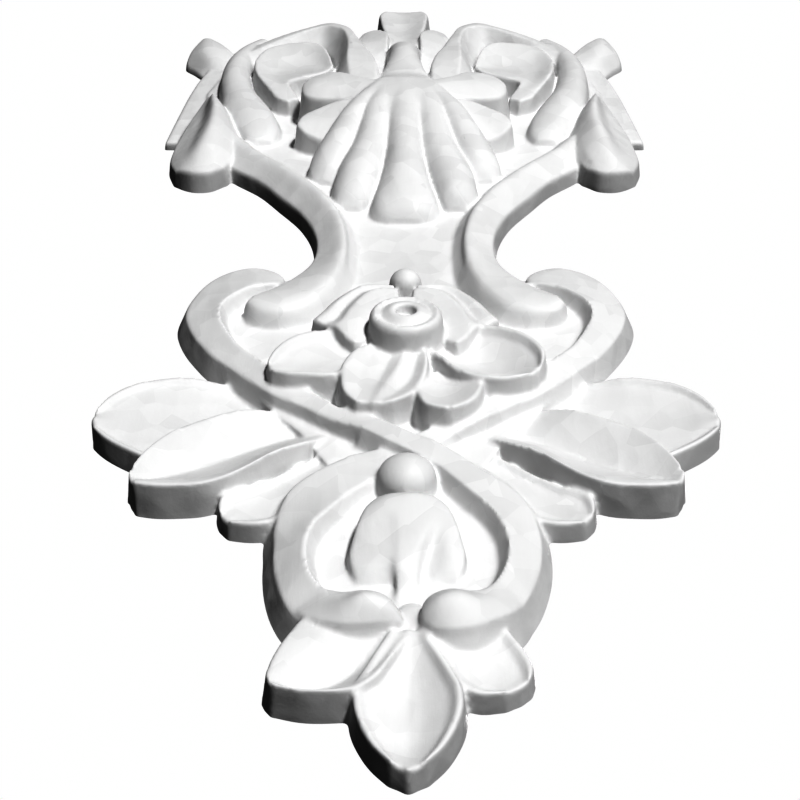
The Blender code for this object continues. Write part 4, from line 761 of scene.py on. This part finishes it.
def primed_wood(look):
    """Matt white primer brushed over carved wood: knife facets, raised grain and a fine tooth, with painted
    shade on the facets, each a patch of its own lighter or darker colour.
    """
    material = bpy.data.materials.new("primed_wood")
    material.use_nodes = True
    tree = material.node_tree
    shader = tree.nodes["Principled BSDF"]
    place = Shade(tree).add("ShaderNodeTexCoord", {}, {}, "Object")
    facets = place.add("ShaderNodeTexVoronoi", {"feature": "SMOOTH_F1"},
                       {"Vector": place, "Scale": 1.0 / look.facet_width, "Smoothness": FACET_SOFTNESS},
                       "Distance")
    fibres = place.add("ShaderNodeMapping", {}, {"Vector": place, "Scale": GRAIN_RUN})
    grain = noise(fibres, GRAIN_SCALE, 3.0)
    tooth = noise(place, TOOTH_SCALE, 2.0)
    cloud = noise(place, CLOUD_SCALE, 3.0)
    height = facets * look.facet_depth + grain * look.grain_depth + tooth * look.tooth_depth
    bump = place.add("ShaderNodeBump", {}, {"Height": height, "Distance": 1.0, "Strength": 1.0}, "Normal")
    # Painted facet shade: one random tone for each knife facet, on the same cells as the facet bump, stands
    # in for how each facet catches the light.
    facet_shade_patches = place.add("ShaderNodeTexVoronoi", {"feature": "F1"},
                        {"Vector": place, "Scale": 1.0 / look.facet_width}, "Color")
    facet_shade_tone = place.add("ShaderNodeSeparateColor", {}, {"Color": facet_shade_patches}, "Red")
    # How far the colour goes towards the darker coat: partly painted facet shade, partly the real mottle of a
    # thin coat and the raised grain.
    thin = facet_shade_tone * FACET_SHADE_SHARE + cloud * CLOUD_SHARE + grain * GRAIN_SHARE
    colour = place.add("ShaderNodeMix", {"data_type": "RGBA"},
                       {0: thin, 6: (*look.primer, 1.0), 7: (*look.thin_coat_and_facet_shade, 1.0)}, 2)
    sheen = look.roughness - SHEEN_CHANGE / 2 + SHEEN_CHANGE * cloud
    tree.links.new(colour.socket, shader.inputs["Base Color"])
    tree.links.new(sheen.socket, shader.inputs["Roughness"])
    tree.links.new(bump.socket, shader.inputs["Normal"])
    shader.inputs["Specular IOR Level"].default_value = PRIMER_SPECULAR
    return material


def pale_floor(colour):
    """An even matt floor."""
    material = bpy.data.materials.new("pale_floor")
    material.use_nodes = True
    shader = material.node_tree.nodes["Principled BSDF"]
    shader.inputs["Base Color"].default_value = (*colour, 1.0)
    shader.inputs["Roughness"].default_value = FLOOR_ROUGHNESS
    return material


class OnlaySizes(bpy.types.PropertyGroup):
    """Sizes of the carving."""

    field: FloatProperty(name="Field", description="Height of the low ground above the back",
                         default=2.8 * MM, unit="LENGTH", precision=4)
    rim_width: FloatProperty(name="Rim width", description="Width of the rounding along every rim",
                             default=0.9 * MM, unit="LENGTH", precision=4)
    rim_depth: FloatProperty(name="Rim depth", description="Depth of the rounding along every rim",
                             default=0.6 * MM, unit="LENGTH", precision=4)
    wall_slope: FloatProperty(name="Wall slope", description="Lean of the walls from upright",
                              default=math.radians(8), unit="ROTATION")
    inner_slope: FloatProperty(name="Inner slope", description="Lean of the walls inside the scrolls",
                               default=math.radians(26), unit="ROTATION")
    outer_slope: FloatProperty(name="Outer slope", description="Lean of the walls around the scrolls",
                               default=math.radians(27), unit="ROTATION")
    curve_steps: IntProperty(name="Curve steps", description="How finely each form follows its curves",
                             default=2)
    carving_step: FloatProperty(name="Carving step", description="Fineness of the carved surface",
                                default=0.38 * MM, unit="LENGTH", precision=5)
    softening: IntProperty(name="Softening", description="Passes that soften the carved surface", default=7)
    triangles: IntProperty(name="Triangles", description="Most triangles of the carving", default=185000)


class OnlayFinish(bpy.types.PropertyGroup):
    """Colours and marks of the primed surface."""

    primer: FloatVectorProperty(name="Primer", description="Colour of the full coat", subtype="COLOR", size=3,
                                default=(0.73, 0.73, 0.73))
    # The darker colour: where the coat is thin, and the painted shade of the knife facets.
    thin_coat_and_facet_shade: FloatVectorProperty(name="Thin primer", description="Colour where the coat is thin",
                                     subtype="COLOR", size=3, default=(0.65, 0.65, 0.65))
    roughness: FloatProperty(name="Roughness", description="Mattness of the primer", default=0.62,
                             subtype="FACTOR", min=0.0, max=1.0)
    facet_width: FloatProperty(name="Facet width", description="Width of a knife facet",
                               default=5.0 * MM, unit="LENGTH", precision=4)
    facet_depth: FloatProperty(name="Facet depth", description="Depth of a knife facet",
                               default=0.2 * MM, unit="LENGTH", precision=5)
    grain_depth: FloatProperty(name="Grain depth", description="Height of the raised grain",
                               default=0.02 * MM, unit="LENGTH", precision=5)
    tooth_depth: FloatProperty(name="Tooth depth", description="Height of the primer's tooth",
                               default=0.008 * MM, unit="LENGTH", precision=6)


class OnlayStage(bpy.types.PropertyGroup):
    """Light, floor and viewpoint."""

    key: FloatProperty(name="Key light", description="Power of the soft light in front", default=15.0,
                       unit="POWER")
    key_width: FloatProperty(name="Key width", description="Width of the soft light in front",
                             default=0.25, unit="LENGTH")
    reach: FloatProperty(name="Reach", description="Distance of the soft light in front", default=2.0,
                         unit="LENGTH")
    fill: FloatProperty(name="Fill", description="Strength of the even light from all round", default=0.04)
    overhead: FloatProperty(name="Overhead", description="Strength of the light from high up behind",
                            default=4.0)
    floor_drop: FloatProperty(name="Floor", description="How far the floor lies below the onlay", default=1.0,
                              unit="LENGTH")
    floor_colour: FloatVectorProperty(name="Floor colour", description="Colour of the floor", subtype="COLOR",
                                      size=3, default=(0.86, 0.86, 0.86))


class ONLAY_OT_carve(bpy.types.Operator):
    """Carve the onlay and give it its primed finish"""

    bl_idname = "onlay.carve"
    bl_label = "Carve Onlay"

    def execute(self, context):
        """Carve all forms, fuse them and dress them."""
        sizes = context.scene.onlay_sizes
        carver = Carver(sizes)
        for form in FORMS:
            form(carver)
        upright(carver.bm)
        skin = fused(carver.bm, sizes)
        flat_back(skin)
        skin = thinned(skin, sizes)
        fitted(skin)
        skin.name = "onlay_carving"
        piece = bpy.data.objects.new("onlay_carving", skin)
        context.scene.collection.objects.link(piece)
        skin.materials.clear()
        skin.materials.append(primed_wood(context.scene.onlay_finish))
        skin.shade_smooth()
        skin.set_sharp_from_angle(angle=SHARP)
        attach(piece, "root")
        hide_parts(NODE)
        return {"FINISHED"}


class ONLAY_OT_stage(bpy.types.Operator):
    """Set up the pale floor, the soft lights and the viewpoint"""

    bl_idname = "onlay.stage"
    bl_label = "Set the Stage"

    def execute(self, context):
        """Add floor, lights, surroundings and camera."""
        scene = context.scene
        stage = scene.onlay_stage
        floor_height = LOW.z - stage.floor_drop
        bm = bmesh.new()
        bmesh.ops.create_grid(bm, x_segments=1, y_segments=1, size=FLOOR_HALF)
        bmesh.ops.translate(bm, verts=bm.verts, vec=(0.0, 0.0, floor_height))
        mesh = bpy.data.meshes.new("floor")
        bm.to_mesh(mesh)
        bm.free()
        mesh.materials.append(pale_floor(stage.floor_colour))
        floor = bpy.data.objects.new("floor", mesh)
        scene.collection.objects.link(floor)
        floor.visible_diffuse = False

        key = studio_light(scene, "key_light", "AREA", KEY_DIRECTION, stage.reach, stage.key)
        key.shape = "DISK"
        key.size = stage.key_width
        key.spread = KEY_SPREAD
        overhead = studio_light(scene, "overhead_light", "SUN", OVERHEAD_DIRECTION, stage.reach,
                                stage.overhead)
        overhead.angle = OVERHEAD_ANGLE
        surroundings(scene, stage.fill)
        viewpoint(scene)
        return {"FINISHED"}


def studio_light(scene, name, kind, direction, reach, energy):
    """Add a light that stands in the given direction and shines at the middle of the onlay."""
    data = bpy.data.lights.new(name, kind)
    data.energy = energy
    place = Vector(direction).normalized() * reach
    light = bpy.data.objects.new(name, data)
    light.location = place
    light.rotation_euler = (-place).to_track_quat("-Z", "Y").to_euler()
    light.visible_camera = False
    scene.collection.objects.link(light)
    return data


def surroundings(scene, fill):
    """A white studio all round, of which only a little lights the onlay."""
    world = bpy.data.worlds.new("studio")
    world.use_nodes = True
    tree = world.node_tree
    background = tree.nodes["Background"]
    background.inputs["Color"].default_value = (1.0, 1.0, 1.0, 1.0)
    seen = Shade(tree).add("ShaderNodeLightPath", {}, {}, "Is Camera Ray")
    strength = fill + (1.0 - fill) * seen
    tree.links.new(strength.socket, background.inputs["Strength"])
    scene.world = world


def viewpoint(scene):
    """The camera, below and in front of the onlay, looking up along it."""
    data = bpy.data.cameras.new("viewpoint")
    data.sensor_width = VIEW_SENSOR
    data.lens = VIEW_LENS
    data.clip_start = MM
    camera = bpy.data.objects.new("viewpoint", data)
    camera.location = VIEW_PLACE
    camera.rotation_euler = (VIEW_TILT, 0.0, 0.0)
    scene.collection.objects.link(camera)
    scene.camera = camera
    scene.view_settings.view_transform = "Standard"
    scene.view_settings.gamma = PRINT_GAMMA


class ONLAY_PT_panel(bpy.types.Panel):
    """Lists the steps and their values"""

    bl_label = "Carved Onlay"
    bl_idname = "ONLAY_PT_panel"
    bl_space_type = "VIEW_3D"
    bl_region_type = "UI"
    bl_category = "Onlay"

    def draw(self, context):
        """Draw each group of values above its operator."""
        scene = context.scene
        for values, operator in ((scene.onlay_sizes, None), (scene.onlay_finish, ONLAY_OT_carve.bl_idname),
                                 (scene.onlay_stage, ONLAY_OT_stage.bl_idname)):
            box = self.layout.box()
            for name in values.__annotations__:
                box.prop(values, name)
            if operator:
                box.operator(operator)


CLASSES = (OnlaySizes, OnlayFinish, OnlayStage, ONLAY_OT_carve, ONLAY_OT_stage, ONLAY_PT_panel)


def register():
    """Register the classes and hang their values on the scene."""
    for item in CLASSES:
        bpy.utils.register_class(item)
    bpy.types.Scene.onlay_sizes = PointerProperty(type=OnlaySizes)
    bpy.types.Scene.onlay_finish = PointerProperty(type=OnlayFinish)
    bpy.types.Scene.onlay_stage = PointerProperty(type=OnlayStage)


def unregister():
    """Take the values off the scene and unregister the classes."""
    del bpy.types.Scene.onlay_stage
    del bpy.types.Scene.onlay_finish
    del bpy.types.Scene.onlay_sizes
    for item in reversed(CLASSES):
        bpy.utils.unregister_class(item)


def main():
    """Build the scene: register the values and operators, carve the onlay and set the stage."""
    register()
    bpy.ops.onlay.carve()
    bpy.ops.onlay.stage()


if __name__ == "__main__":
    main()
